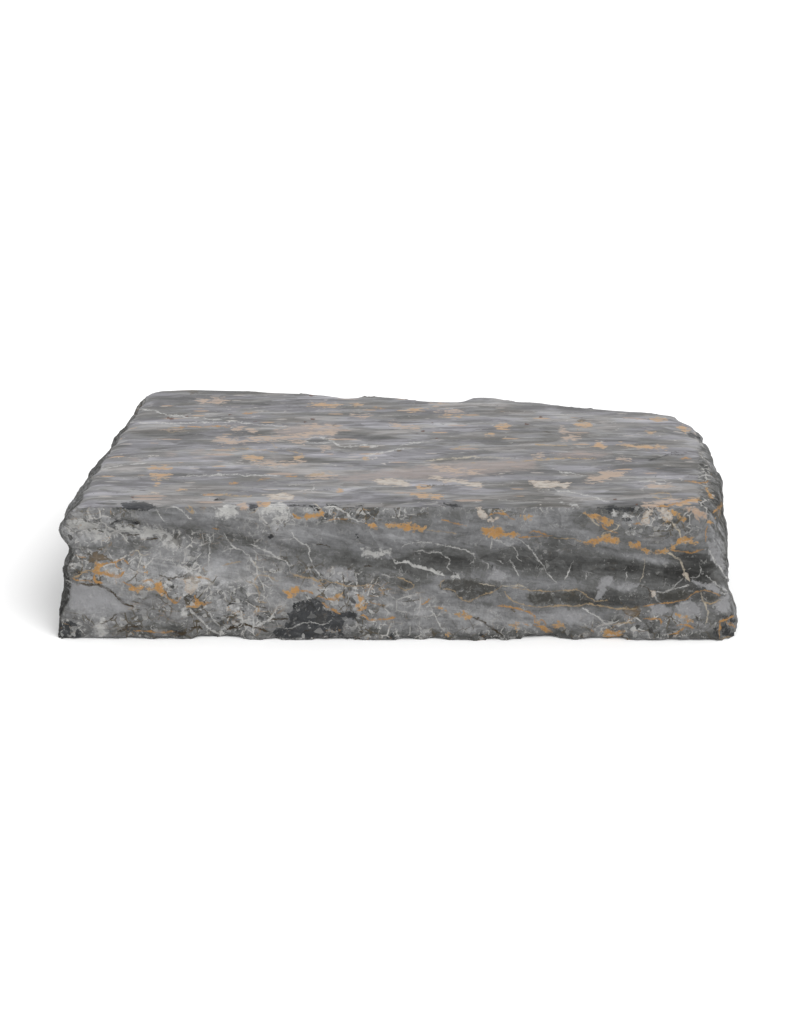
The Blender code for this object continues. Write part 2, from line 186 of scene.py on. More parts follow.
FRONT_LINES = {
    # Drawn wide, the crack under the left lip is partly a real crack and partly painted shade where the lip
    # overhangs.
    "crack and painted shade under the lip": (DARK, 1.8, [
        (111, 525.5), (117, 521.5), (124, 521.5), (131, 522.7), (140, 524.6)]),
    "hairline in the grey": (WHITE, 0.5, [(156.4, 510.6), (160, 516), (164, 521.5)]),
    "longer hairline": (WHITE, 0.5, [(171, 506), (180.5, 509.5), (187.4, 516.4), (193, 519)]),
    "loop at the rim": (TAN, 0.7, [
        (185, 507), (186, 510), (190, 511.6), (193, 512), (190.6, 507.4), (187.6, 505.4)]),
    "brown line": (BROWN, 0.9, [(125, 535.6), (132, 535), (139, 535)]),
    "brown slip": (BROWN, 0.8, [(145, 539.8), (158, 537.8)]),
    "white edge": (WHITE, 0.9, [(93, 531), (104, 530), (112, 540)]),
    "left upright vein": (WHITE, 0.95, [(207, 534), (210, 538), (209.5, 545), (209, 555), (208.8, 566)]),
    "vein a": (WHITE, 1.0, [
        (224, 533), (228, 540), (235, 547.9), (242.6, 550.8), (249.4, 556.5), (253, 561.7), (256, 566),
        (264, 567)]),
    "vein a's branch": (WHITE, 0.5, [(235, 548), (228, 550), (222, 551.4)]),
    "brown tip": (BROWN, 0.9, [(96.7, 548.6), (102.5, 549)]),
    "net 1": (OCHRE, 1.3, [
        (95.6, 563.7), (100, 564.4), (106, 563.7), (112, 562.5), (117.4, 561), (124, 558.8)]),
    "net 2": (OCHRE, 1.3, [(124, 559), (129, 564)]),
    "net 3": (OCHRE, 2.5, [
        (99, 564.6), (97, 569.2), (94, 571.5), (100, 572.6), (108, 574), (115, 576.6), (120, 575),
        (124, 571.5)]),
    "net 4": (OCHRE, 2.0, [(94.4, 573.8), (94.4, 579.5), (96.7, 583.5), (102.5, 584)]),
    "net 5": (OCHRE, 1.4, [(116, 562.3), (117.4, 567), (122, 569.2)]),
    "net 6": (TAN, 1.0, [(71.5, 577.2), (78.4, 575), (86.4, 571.5), (93.3, 571)]),
    "net 7": (OCHRE, 1.0, [(71.5, 578.4), (77, 579.7), (85, 580.7), (93, 583)]),
    "net 8": (OCHRE, 1.1, [(75, 554.3), (79.5, 556.5), (85.3, 557.7)]),
    "net 9": (OCHRE, 1.0, [(115.5, 577), (116, 581), (116.5, 584)]),
    "net arc": (OCHRE, 1.1, [(142, 581), (147, 580), (152, 580.5), (156, 584)]),
    "net bridge": (OCHRE, 0.8, [(122, 582), (129, 585), (134, 588), (143, 588.6)]),
    "net tail": (OCHRE, 1.3, [(164, 591), (170, 598), (176, 601.3), (181, 596.7)]),
    "brown diagonal": (BROWN, 2.0, [
        (80.7, 583), (90, 585.2), (99, 586.4), (108, 590), (115, 594.4), (120, 600), (126, 604),
        (135, 606.5)]),
    "nodule's ochre": (OCHRE, 1.3, [(197, 578), (203, 578.6), (210, 579.5)]),
    "ochre under it": (OCHRE, 1.4, [(194, 596), (197, 601), (203, 604), (211, 602.5)]),
    "slot": (DARK, 1.4, [(227.6, 604.6), (234.5, 605.2)]),
    "foot crack 1": (BROWN, 2.0, [(116, 634.6), (122, 630), (129, 626.8), (138, 626.6), (143, 627.7)]),
    "foot crack 2": (OCHRE, 1.2, [(133, 631.2), (147, 631.7), (161, 631.9), (174, 632.4)]),
    "foot crack 3": (BROWN, 2.0, [(174, 632.8), (185, 633), (195.5, 627.7), (202, 629)]),
    "foot crack 4": (BROWN, 1.6, [
        (226.5, 629.4), (232, 627.7), (240, 627.7), (244, 623), (249, 625.4), (254, 627.7), (261, 629),
        (268, 632)]),
    "foot crack 5": (BROWN, 1.2, [(101, 624), (109, 620), (117, 613.5)]),
    "white diagonal": (WHITE, 1.7, [(188.6, 609), (194, 615), (202, 621), (208, 627.7), (221, 634.6)]),
    "beside it": (WHITE, 0.8, [(209, 610.5), (214, 619.7), (220, 626.6)]),
    "white hook": (WHITE, 0.7, [(93.3, 615), (91, 619), (90, 623)]),
    "calcite net 1": (WHITE, 0.6, [
        (145, 567), (151, 561), (156.4, 557.7), (161, 559), (168, 560), (172.5, 559)]),
    "calcite net 2": (WHITE, 0.8, [
        (172.5, 559), (175, 563.4), (182, 566), (187.4, 570), (190, 572.6), (193, 567), (196.6, 560)]),
    "calcite net 3": (CREAM, 0.6, [(130, 552), (138, 551.4), (140.4, 554), (145, 555.4), (152, 553.7)]),
    "thin ochre": (TAN, 0.7, [(222, 566), (227.6, 564), (233.4, 562.3), (241.4, 561.7)]),
    "brown thread": (BROWN, 0.55, [(157.6, 575), (163, 577), (170, 578.4), (180.5, 577), (187, 576)]),
    "orange speck": (OCHRE, 1.0, [(212.7, 527.8), (218.4, 529)]),
    "under the dark corner": (TAN, 0.7, [(249.4, 513), (254, 511.8), (258.6, 509)]),
    "ochre tail": (OCHRE, 0.8, [(327.5, 521), (335.5, 519.8), (342, 519.2), (348, 518.7)]),
    "forked vein": (WHITE, 1.0, [
        (324, 506.6), (333, 506), (339, 509), (345, 512.3), (350.5, 517.5), (357, 520.4), (363, 522)]),
    "fork": (WHITE, 0.9, [(333, 506), (330.4, 510.6), (331.5, 515.2)]),
    "grey line": (CREAM, 0.6, [(313.7, 502.6), (318, 506), (320.6, 509.5)]),
    "vein c": (WHITE, 0.75, [
        (289.6, 528), (294, 537), (300, 541), (307, 545), (310, 548.5), (309, 554), (311.4, 562),
        (316, 571.5), (322, 579.5)]),
    "vein c's branch": (WHITE, 0.5, [(294, 537), (288.5, 538.8), (280, 541)]),
    "vein d": (WHITE, 1.1, [
        (250, 543.5), (257.5, 547.4), (266.7, 551), (272, 554), (279, 558.8), (285, 560.6), (289.6, 565.7),
        (290, 571.5)]),
    "long ochre line": (TAN, 1.0, [
        (290, 572.6), (295, 575), (302, 576.6), (310, 578.4), (317, 580.7), (323, 580), (330, 582.4),
        (339, 583), (346, 585.8), (353, 587), (362, 585.8), (372, 584.6)]),
    "white above it": (CREAM, 0.65, [(253, 561), (257.5, 566), (261, 571.5), (270, 571.5)]),
    "brown upright": (BROWN, 0.6, [(342.4, 573.8), (344, 583), (344, 593), (344.7, 601), (346, 608)]),
    "star's tail": (OCHRE, 1.3, [(299, 590), (307, 592), (313, 594.4)]),
    "ochre run": (OCHRE, 0.9, [(317, 596), (325, 598), (331, 600), (337, 602)]),
    "ochre arc": (OCHRE, 0.9, [(356, 610), (363, 609), (366.5, 605.3)]),
    "ochre right of it": (OCHRE, 0.9, [(370, 601.3), (376, 603.6), (385, 606)]),
    "slate's white line": (WHITE, 0.42, [
        (284, 630), (293, 627.7), (302, 624), (310, 622.6), (324, 624), (332, 620)]),
    "slate's ochre": (OCHRE, 1.7, [(322, 604), (327.5, 607), (332, 610.5), (340, 614)]),
    "ochre low": (OCHRE, 1.5, [
        (361, 615), (365.4, 616), (370, 619.7), (378, 619.7), (385, 618.5), (395, 617.5)]),
    "brown arc": (BROWN, 1.2, [(255, 609), (260, 607), (266.7, 607.6)]),
    "brown thread low": (BROWN, 0.9, [(269, 619.7), (278, 619), (288.5, 618.5)]),
    "white low 1": (WHITE, 0.9, [(236.8, 606), (241.4, 613), (242.6, 622), (238, 627)]),
    "white low 2": (WHITE, 1.3, [(248, 608), (253, 611.6), (253.5, 619.7), (253, 633.5)]),
    "white low 3": (WHITE, 1.5, [(277, 605), (273.6, 613), (270, 619.7), (263, 624), (255, 626)]),
    "tan v": (TAN, 0.7, [(254, 583), (257.5, 578.4), (261, 575), (272, 578.4), (279, 580.7)]),
    "tan leg": (TAN, 0.8, [
        (247, 580.7), (254, 584), (257.5, 590), (260, 595.6), (258.6, 600), (267, 602.5)]),
    "brown dash": (BROWN, 1.0, [(317, 545), (324, 545.6), (330, 547.4)]),
    "brown dash 2": (BROWN, 0.9, [(364, 566.3), (373.4, 567)]),
    "white fleck line": (WHITE, 0.6, [(366, 510), (371, 515), (377, 519.5)]),
    "ochre thread": (OCHRE, 0.9, [(442, 519.8), (450.4, 521.5), (458.4, 523.8), (466.4, 525.6)]),
    "tan thread": (TAN, 0.55, [(426, 530.7), (439, 531.3), (452.7, 533), (457, 534)]),
    "star's thread": (OCHRE, 0.6, [(518, 537), (528.4, 537.6), (535, 536.5), (552, 534.7)]),
    "star's upper thread": (OCHRE, 1.0, [(529.6, 532.4), (534, 530.7), (541, 532.4), (550, 535)]),
    "swirl's ochre": (OCHRE, 1.1, [
        (489, 516.4), (494, 514), (501, 514), (508, 515.2), (511, 518), (515, 519.2)]),
    "swirl's upper side": (TAN, 0.6, [(491.7, 511.8), (496, 510), (502, 511.8), (505.5, 514.6)]),
    "dark on the rim": (DARK, 0.9, [(443.5, 502.8), (450, 505), (462, 506.4)]),
    "arched vein": (WHITE, 0.55, [
        (402, 547.4), (408, 543), (419.4, 541.5), (426, 542.8), (434, 543.3), (445, 545.6), (456, 548),
        (465, 550), (472, 553), (475, 556.5), (474, 560), (468.7, 564)]),
    "thin vein under it": (WHITE, 0.45, [
        (415, 551.4), (419.4, 550), (427, 553), (434, 552), (441, 553), (447, 556.5), (450.4, 559),
        (450, 563.4), (448, 567), (451.5, 571.5)]),
    "thick vein": (WHITE, 2.1, [
        (393, 559), (396, 562.5), (402, 562), (408, 563), (413.6, 566), (422, 568), (431, 570.3),
        (438, 572.6), (444, 575)]),
    "vein e": (WHITE, 0.6, [
        (491.7, 538), (500, 540.5), (506.6, 545), (513.5, 547.4), (517, 553), (516, 557.7), (521.5, 562)]),
    "vein e's leg": (WHITE, 0.65, [(492.8, 538), (491.7, 544), (490, 548.5)]),
    "vein f": (WHITE, 0.6, [
        (518, 538), (526, 544), (532, 549.7), (535, 555.4), (539, 561), (544.5, 567), (548, 574),
        (556.5, 583)]),
    "flecks 1": (WHITE, 0.6, [(484, 560.6), (488, 564), (489.6, 568)]),
    "flecks 2": (WHITE, 0.55, [(497.4, 560.6), (503, 564)]),
    "hairline h": (WHITE, 0.45, [(509, 560), (514.6, 568), (519, 576)]),
    "upright slot": (DARK, 1.1, [(492.8, 565), (492, 571.5)]),
    "lens's lower edge": (TAN, 0.8, [
        (443.5, 589.3), (450.4, 591), (455, 593.3), (459.5, 598), (465, 600.4), (471, 600.7), (480, 596.7),
        (490.5, 592.7), (498.6, 589.8), (503, 586.6)]),
    "lens's left edge": (TAN, 0.9, [(440.5, 588), (440.5, 583), (444.6, 579.5)]),
    "lens's white dash": (CREAM, 0.7, [(479, 583), (485, 584), (495, 585.8)]),
    "fleck in the lens": (WHITE, 0.5, [(457, 592), (464, 590.4)]),
    "second lens": (TAN, 0.95, [
        (503.7, 592), (506.6, 596.7), (511, 600.7), (518, 603), (526, 604.4), (534, 606.6), (547, 606.4),
        (562, 605.6), (580, 605.6), (587, 603.6), (595, 604.3), (603, 606.3), (613, 608.4), (626.5, 609),
        (637, 608.4)]),
    "second lens's top": (CREAM, 0.8, [(502, 587), (510, 586.4), (518, 585.8), (527, 586.6)]),
    "small lens": (TAN, 0.7, [
        (396.4, 577.2), (402, 579), (409, 581.5), (413.6, 586), (405.6, 590), (397.6, 585.8)]),
    "white to the small lens": (WHITE, 0.6, [(381.5, 574.3), (388.4, 577), (396, 577.2)]),
    "ochre comma": (OCHRE, 1.0, [(421.7, 603.6), (426, 603), (430.3, 599)]),
    "brown thread mid": (BROWN, 0.6, [(402, 602.5), (408, 601.3), (416, 600), (419.4, 599.6)]),
    "crack to the foot": (BROWN, 1.6, [
        (472, 618), (478, 619), (483.6, 622), (490.5, 627.7), (500, 633.5), (503, 637)]),
    "white low 4": (WHITE, 0.9, [(428.5, 610.5), (432, 613), (435.4, 617.4), (439, 624), (443.5, 631)]),
    "ochre arch": (OCHRE, 0.95, [
        (497.4, 606), (505.5, 606.5), (514.6, 607.6), (524, 611), (531, 613), (535.3, 617.4),
        (535.3, 623)]),
    "ochre foot": (OCHRE, 1.5, [(534, 625.4), (540, 627.7), (547, 632), (552, 632.6)]),
    "ochre dash mid": (OCHRE, 1.0, [(523.8, 623.7), (529.6, 625.4)]),
    "ochre loop": (OCHRE, 0.8, [(538, 624.6), (540.6, 620), (544.5, 622), (545.6, 625.4)]),
    "shell's crest": (OCHRE, 1.0, [(601.8, 524), (607, 529.5), (613, 531), (618, 533.7)]),
    "shell's loop": (CREAM, 0.8, [(614, 523.4), (619.6, 525.4), (613, 531), (604.5, 533.7), (603, 538)]),
    "shell's rib": (CREAM, 0.7, [(588, 517), (593.6, 522.7), (599, 525.4)]),
    "thread to the broad ochre": (TAN, 0.5, [(552, 537.8), (565, 538.4), (573, 537.8), (581, 542.6)]),
    "ochre stem": (OCHRE, 1.2, [(670, 549.4), (678.6, 551), (689.5, 552.8), (698, 551), (704, 550)]),
    "thread to the yellow": (OCHRE, 0.9, [(633, 523.4), (640, 524)]),
    "rim's ochre": (OCHRE, 1.6, [(656.6, 506.4), (667.6, 505.5), (676, 503.5), (687, 503.5)]),
    "rim's corner": (OCHRE, 1.5, [(685, 502), (689.5, 499.4), (695, 500), (700.5, 499.4)]),
    "end's thread": (OCHRE, 0.9, [(707.4, 525.4), (706, 532), (706, 541)]),
    "foot's upper edge": (OCHRE, 1.7, [(719, 622.5), (724, 620), (730, 617.5), (737, 616.5)]),
    "foot's middle": (OCHRE, 1.5, [(726, 622), (731, 625), (737, 627), (738, 631)]),
    "foot's left edge": (OCHRE, 1.3, [(719.5, 623), (720, 629), (719.5, 637)]),
    "foot's lower edge": (TAN, 1.0, [(720, 638), (727, 637.6), (734, 638)]),
    "end's rim": (OCHRE, 1.5, [(712.9, 513), (717, 510), (721, 506), (722.5, 502)]),
    "vein g": (CREAM, 1.1, [(671.7, 522), (677, 528), (680, 532.3), (681.3, 538)]),
    "vein h": (CREAM, 1.35, [
        (666, 551.5), (673, 555.6), (680, 560.4), (682.7, 565), (684.7, 572), (687, 577), (690, 581)]),
    "vein i": (WHITE, 0.8, [(683, 578), (677, 583), (673, 588), (665, 591), (654, 592)]),
    "vein j": (WHITE, 0.6, [(689.5, 585), (681, 588), (670, 590), (662, 592.6)]),
    "vein k": (WHITE, 0.7, [(655, 596), (658, 599.5), (662, 603.6)]),
    "vein l": (CREAM, 1.05, [(700.5, 592.6), (703, 599.5), (706, 606), (707.4, 614.6), (706, 624)]),
    "vein on the end": (WHITE, 0.85, [(708.7, 548.7), (714, 559.7), (721, 569.3), (729.3, 580.3)]),
    "thin vein m": (WHITE, 0.6, [(706, 576), (713, 580.3), (721, 587), (726.6, 592.6), (718, 592.6)]),
    "thin vein n": (WHITE, 0.5, [(690, 577.5), (698, 576), (702, 569.3), (699, 565)]),
    "grey upright": (CREAM, 0.4, [(644, 558), (644, 569), (641.5, 581.6)]),
    "tan wave": (TAN, 0.6, [
        (512, 588), (525, 588.5), (533, 591), (547, 591.2), (565, 590.6), (578.5, 590), (585, 594),
        (593.6, 599.5), (600, 600), (607, 599.5)]),
    "tan wave at the right": (OCHRE, 0.7, [
        (643, 607), (654, 603.6), (670, 603), (680, 601), (687, 599.5), (694, 594), (702, 591), (710, 592),
        (720, 595.4)]),
    "tan end": (TAN, 0.8, [(720, 600), (710, 603), (701, 601)]),
    "tan low": (OCHRE, 0.7, [(643, 619.3), (659.4, 618.7), (662, 625.5)]),
    "tan low 2": (TAN, 0.7, [(610, 624), (621, 622.8), (634.7, 622.8)]),
    "white slant": (WHITE, 0.85, [(582.6, 607.7), (591, 613), (599, 618.7), (607, 624), (613, 629.6)]),
    "dotted white": (WHITE, 0.6, [(573, 561), (567.5, 575), (564.8, 580.3)]),
    "dotted white 2": (WHITE, 0.6, [(586, 572), (585, 579)]),
    "dotted white 3": (WHITE, 0.6, [(627, 572), (626, 580)]),
    "ochre low right": (OCHRE, 1.3, [(677, 625.5), (684, 625.5), (694, 628)]),
    "ochre low right 2": (OCHRE, 1.3, [(685, 628), (676, 632.4), (669, 635)]),
    "ochre tip": (OCHRE, 1.1, [(590.8, 629.6), (593, 631.7)]),
    "brown at the dark band": (BROWN, 0.6, [(640, 585), (648, 590), (651, 600)]),
    "left end's white": (WHITE, 0.6, [(63, 584), (67, 581), (70, 583)]),
}

# Patches with an outline, by kind.
PATCHES = {
    "ochre": {
        "flat 1": [
            (146.8, 468.3), (154.7, 467), (167.5, 466), (172.6, 467), (170.7, 468.7), (158, 469.4),
            (148, 469.4)],
        "flat 2": [
            (150, 475), (153, 474), (171, 474), (172, 475.8), (169, 477.8), (155, 479), (150.8, 477.8)],
        "flat 3": [(155, 484.8), (158, 482.3), (160.5, 484.8)],
        "flat 4": [(177, 489.7), (180, 488), (187.4, 489), (185, 490.5), (179.5, 490.5)],
        "back 1": [
            (307, 405.7), (314, 403.6), (323, 402.8), (338, 405), (334, 407.2), (323, 407.2), (314, 406.6)],
        "back 2": [(350, 403.2), (355, 402.6), (364, 405.4), (358, 406.8), (352, 405)],
        "back 3": [(408, 409.9), (412.6, 408.4), (428.5, 410), (420, 411.5), (411, 411)],
        "back 4": [(439, 415.3), (444.5, 413.8), (452.5, 415), (464, 415), (459, 417), (447.7, 417)],
        "oval": [(495, 426), (503, 423.6), (511.5, 425.7), (507, 428.4), (497, 428.4)],
        "under the oval": [(485, 434.4), (490.7, 433), (494.5, 434.7), (487.5, 436)],
        "rust's foot": [(573, 425), (581, 422.3), (591, 423), (591, 426), (584, 427.8), (576, 427)],
        "by the lens": [(592, 445.6), (598, 443.5), (607, 446.4), (602, 448.4), (595, 447.4)],
        "long band": [
            (617, 444), (630, 444.4), (656, 446), (668, 448), (659, 449.2), (641, 448.4), (628, 447.2)],
        "back right": [(649, 418.3), (659, 417.4), (667, 419.3), (660.6, 421.3), (652, 420.6)],
        "corner": [(678, 426.4), (683, 425.6), (689.6, 430.4), (686, 434), (680.5, 430)],
        "small by the corner": [(646, 430.6), (655, 431.6), (650, 434)],
        "star": [(337, 489), (340, 487.4), (343.5, 491), (339, 493.4), (336, 491)],
        "rim strip": [(411, 494.6), (424, 493), (433, 495), (444, 496.3), (438, 498.3), (420, 497.7)],
        "rim strip 2": [(417, 485.8), (425, 485), (433, 487), (427, 489.7), (416, 488.9)],
        "tip": [(361, 458), (366, 457.2), (370, 458.7), (364.7, 460)],
        "right rim": [
            (676.5, 504), (686, 499.5), (691, 498), (700.5, 499.5), (697, 502.4), (688, 503.4),
            (678, 506.4)],
        "orange strip": [(707, 488.6), (713.4, 496.6), (712, 498.6), (708, 493.4)],
        "blob": [(128.9, 587.8), (133.5, 585.8), (140.4, 588.2), (138, 591.6), (131.2, 590.6)],
        "net's heart": [
            (140.4, 586.4), (147, 587.5), (152, 588.7), (155.3, 582.6), (161.4, 582), (164, 588.7),
            (167, 594), (161, 594.4), (155.3, 591), (149.5, 590), (145, 589)],
        "cluster 1": [(242, 456.8), (247, 455.6), (262, 457.2), (263.6, 459.2), (255, 460.4), (244, 459.4)],
        "hook's foot": [(294, 458), (300, 454), (304, 456), (300, 459.6)],
        "net's shoulder": [(96, 563), (104, 564), (100, 572), (104, 574), (95, 574), (93, 570)],
        "triangle": [(144, 566.5), (150, 573), (144.4, 573)],
        "rim corner": [
            (257, 502.6), (264, 501.8), (270.5, 501.8), (266, 506.4), (261, 506.4), (256.9, 503.9)],
        "under the nodule": [
            (194.3, 595.6), (197, 600), (203, 603.6), (196, 606.4), (188, 606.4), (193, 602)],
        "rim hook": [
            (293, 514.3), (300, 515.6), (306, 514.2), (314, 514.2), (318.4, 513.6), (319.3, 509.5),
            (322.3, 510.2), (323.3, 515.6), (317, 517), (307, 517.6), (301, 518.8), (295, 517.2)],
        "lens": [(366, 524), (372.3, 523.2), (376, 525.6), (378.4, 529.4), (372, 529), (368, 527)],
        "band": [
            (387, 524.4), (392, 521.8), (399, 523), (404.4, 524.4), (410, 523), (416, 525), (427, 526.2),
            (423, 530), (413.6, 531), (406.7, 530.4), (404, 527.8), (396.4, 526.6), (388.4, 526.6)],
        "star on the front": [
            (482, 527.2), (489.4, 527.2), (493, 526), (496.3, 527.8), (501.4, 527.2), (504.6, 533),
            (508, 533), (512.3, 531.8), (518.6, 534.4), (518.6, 537.6), (511, 537.2), (504, 536),
            (496.3, 537.2), (489.4, 536.6), (484.4, 534.8), (483, 531.3)],
        "leaf": [(521, 516.4), (528.4, 515.8), (537, 515.8), (531, 519.2), (525, 518.7)],
        "star low": [
            (283, 592), (289.6, 590.6), (290.8, 587), (297.7, 586.4), (301, 590), (295.4, 596),
            (290, 597.4)],
        "wedge": [
            (328, 599), (334.4, 596.2), (339, 594), (342.4, 590.6), (344, 597), (337, 599.6), (332, 601.8)],
        "flag": [(358, 595.4), (363.6, 596.4), (362.4, 603.6), (361, 608.6), (355.6, 606), (358.6, 602.5)],
        "low 1": [(434, 608.4), (439, 606.6), (446, 609), (447.4, 611.4), (439, 611)],
        "low 2": [(453.4, 614), (461, 612.4), (468, 613), (472.8, 617.4), (468, 619), (459.5, 616.4)],
        "low 3": [(508.5, 623), (519.6, 624), (518.6, 630), (516, 632), (513, 626.6)],
        "low 4": [(444, 636), (446, 632.6), (449.6, 633), (449.6, 637)],
        "shell": [
            (583.6, 513), (591, 512.4), (598, 514), (602.4, 517), (610, 519.4), (614.6, 523), (610, 524.6),
            (601.8, 524.6), (596, 520), (589, 516)],
        "broad": [
            (580.6, 541.9), (588, 542), (596.3, 538.5), (604.5, 536), (613, 534.4), (620, 539),
            (618.6, 542.4), (610, 543.2), (601.8, 542.5), (595, 544.5), (589.4, 546.6), (585, 544)],
        "hook": [
            (630, 542.8), (640.6, 540.8), (641, 546), (646, 549.6), (656.6, 551), (661, 550.4), (668, 548),
            (673, 544), (680, 540), (687, 538.6), (694, 538.6), (698.4, 542.8), (690, 542.6), (680, 544),
            (673, 548.8), (665, 551), (658, 554), (648, 553), (640, 550), (631.6, 549)],
        "rim peach": [
            (667.6, 510), (676, 511), (680, 515), (685.4, 518), (690, 518.4), (684, 521.8), (678.6, 519),
            (673, 515)],
        "end": [(708.4, 521.3), (713.2, 519), (714.6, 524.4), (710, 525)],
        "low 5": [(603, 631), (610, 629.4), (624, 630.8), (621, 637), (610, 638.2), (604, 635.4)],
        "low 6": [(552, 624.4), (558, 622.4), (565.2, 627), (556.5, 628)],
        "low 7": [(536, 620), (539, 623.8), (544.4, 629), (552.4, 632), (545.6, 632.2), (537, 627.4)],
        "low 8": [(674, 614.2), (684, 616.8), (690, 618.2), (693, 623.4), (686.8, 622), (682, 618)],
    },
    "peach": {
        "bow": [
            (197, 401), (203, 399), (211, 400.3), (213, 398.6), (215.4, 397.6), (228, 399.5),
            (222.5, 402.6), (221, 405), (214, 403.2), (207, 402.3), (201, 403.2)],
        "blob 1": [(232, 427.8), (237.7, 426.5), (243.5, 427.3), (241, 431), (234.5, 430)],
        "blob 2": [(244, 429.5), (250, 429), (258, 430.3), (256, 432.5), (249, 431.6)],
        "streak": [
            (212, 440), (218.5, 437), (225, 436), (228, 438), (239, 439.7), (250, 438), (276, 436.8),
            (298, 434), (325, 430.8), (325, 435.4), (298, 437.2), (274, 440), (250, 441.4), (239, 443),
            (228, 444.2), (221, 443.6)],
        "fan's edge": [
            (300, 426), (311, 424), (326, 425.6), (344, 425.4), (341, 428), (325, 427.4), (306, 426.8)],
        "fan's tip": [(274, 430.8), (286, 428), (290, 429.4), (280, 432.4)],
        "wing": [(322, 433), (331, 429.3), (338, 432.8), (331, 434.8), (320, 435)],
        "under the streak": [(290, 440.8), (296, 440.2), (305.4, 442), (303, 444.4), (294, 443.4)],
        "ellipse": [(350, 414.5), (360, 415.6), (371.5, 414.8), (368, 417.4), (355, 417.4)],
        "orange": [
            (390, 423), (397, 422.8), (403, 425.4), (412.6, 426.5), (421.6, 427.7), (417, 429.7),
            (406, 428.5), (398, 427.6)],
        "right 1": [(556, 429.5), (561.7, 427.6), (568.5, 431), (565, 433.3), (558.6, 431.4)],
        "right 2": [(561, 438.4), (566.5, 435.4), (573, 436), (580.6, 438.4), (573, 440.4), (565, 440.4)],
        "triangle": [(531, 457.6), (541, 453.3), (544, 456), (536, 457.4)],
        "triangle 2": [(617, 458.9), (625.5, 457), (630.6, 460.3), (622, 460.4)],
        "patch": [
            (584, 481.7), (592, 476.4), (601, 474.6), (600, 471.6), (605, 469.8), (617.6, 469.8),
            (625.4, 472.7), (622, 476.4), (614, 478), (608, 479.5), (600, 481.1), (592, 482.7)],
        "right rim": [(663, 485.6), (667, 483.8), (672.3, 487), (665.4, 488.4)],
        "cluster 2": [
            (250, 461.6), (260, 460.4), (274, 462), (282, 462.6), (301, 459.6), (305.4, 461.6),
            (295, 464.4), (287, 465), (276, 466.7), (266, 465), (257, 464.4)],
        "soft 1": [(303, 475), (316, 472), (330, 474), (337, 476), (326, 478.6), (310, 478.4)],
        "soft 2": [(318, 447), (327, 445.6), (331, 448), (324, 450.4)],
        "soft 3": [(430, 403), (440, 402.6), (446, 404.6), (436, 406)],
        "soft 4": [(436, 411), (452, 409.4), (463, 410.6), (452, 412.6)],
        "rim network": [
            (640, 503.6), (656, 501.4), (672, 499), (680, 500), (676, 503), (664, 505), (650, 507),
            (642, 507.4)],
        "by the white network": [
            (646, 486), (654, 483), (662, 484), (670, 485.4), (662, 488), (652, 488.6)],
        "knee": [
            (430, 466), (440, 464.6), (446, 467.4), (470, 470), (480, 473), (476, 475), (452, 472.4),
            (436, 470)],
        "spot": [(238, 503), (243, 503), (247.6, 506), (248, 510), (242.6, 511.2), (238, 508.6)],
        "flower": [
            (685, 510), (695, 505.8), (699.6, 511.4), (706.4, 514.4), (707.8, 519), (699, 519.8),
            (692, 515)],
        "star": [(597, 443), (600, 441), (604, 443.2)],
    },
    "cream": {
        "rim patch": [
            (262.6, 495.8), (276, 494.8), (282.3, 491.6), (285.5, 494), (294, 494.8), (293, 500.2),
            (282, 500), (272, 498.4)],
        "swirl": [
            (476.4, 508.2), (480.4, 506.6), (484, 510.4), (486.3, 515), (488.6, 517.5), (493, 518),
            (498, 516.6), (494.4, 520.9), (488, 521), (482, 518.7), (478.6, 514.2)],
        "rim speck": [(148, 493.5), (154.7, 492.3), (159.2, 494.4)],
        "patch 1": [
            (371, 482.4), (380.7, 478.7), (388.6, 478.4), (396.6, 480.3), (412, 483), (407.8, 485.8),
            (396.6, 485.8), (387, 484.6), (377.5, 483.4)],
        "patch 2": [
            (428, 476.4), (438, 477), (451, 479.5), (460.4, 480.2), (481.6, 483), (482.6, 485.8),
            (473, 486.7), (462, 483.5), (450.8, 482), (438, 480.4)],
        "patch 3": [
            (528, 480.6), (538, 481), (546, 480.3), (550.6, 481.9), (560, 482.2), (570.3, 482.8),
            (566.5, 487.4), (557, 486.5), (549, 487.6), (542.6, 488.3), (536, 487.4), (533, 484.3)],
        "nodule": [
            (183.6, 578), (190, 576.6), (198.4, 576.6), (198.4, 583), (197, 589), (190, 595), (186, 592.5)],
        "yellow": [
            (640, 524.6), (642.5, 515.6), (648.2, 509.8), (654.4, 509.3), (649, 517.2), (653, 520),
            (645.7, 523.2)],
        "right": [
            (661.6, 508.6), (670.6, 509.8), (673.6, 515.8), (670.4, 522), (663, 520.3), (663, 515),
            (656, 509)],
        "bead 1": [(684, 573), (687.4, 574.6), (690, 580), (688.4, 581.2), (685, 578.6)],
        "bead 2": [(650.6, 590.8), (655, 590.8), (655.7, 595.6), (651.6, 596.5)],
    },
    "calcite": {
        "under the lip": [
            (114, 524.4), (124, 524.6), (139, 528), (152, 526.7), (160, 528.4), (170, 532), (178.5, 541.6),
            (179, 548.5), (170, 547.6), (162, 544), (158.7, 537), (147, 538.4), (145, 541.8), (140, 541.8),
            (139, 534.9), (129, 532.6), (117, 531.5)],
        "left": [
            (67, 521), (80, 519), (96, 524), (106, 532), (112, 541), (101, 541), (88, 536), (76, 531),
            (67, 530)],
        "rim blobs": [
            (258, 512), (263, 508), (269, 504.5), (279, 503.2), (286.6, 504.6), (289, 508.3), (284, 512),
            (277, 511), (269, 514.4), (262, 515.6)],
        "rim blobs 2": [(272, 517.8), (279, 514), (287.6, 512.6), (289, 519), (279, 520.2)],
        "rim blobs 3": [(213, 508), (226, 504), (236, 507), (237, 515), (226, 518), (217, 517)],
        "net": [
            (360.4, 548.3), (368.8, 548), (374.6, 551.5), (382.6, 549.2), (392, 548), (391, 555.8),
            (386, 556), (376, 559), (366, 558.4), (363, 554.6)],
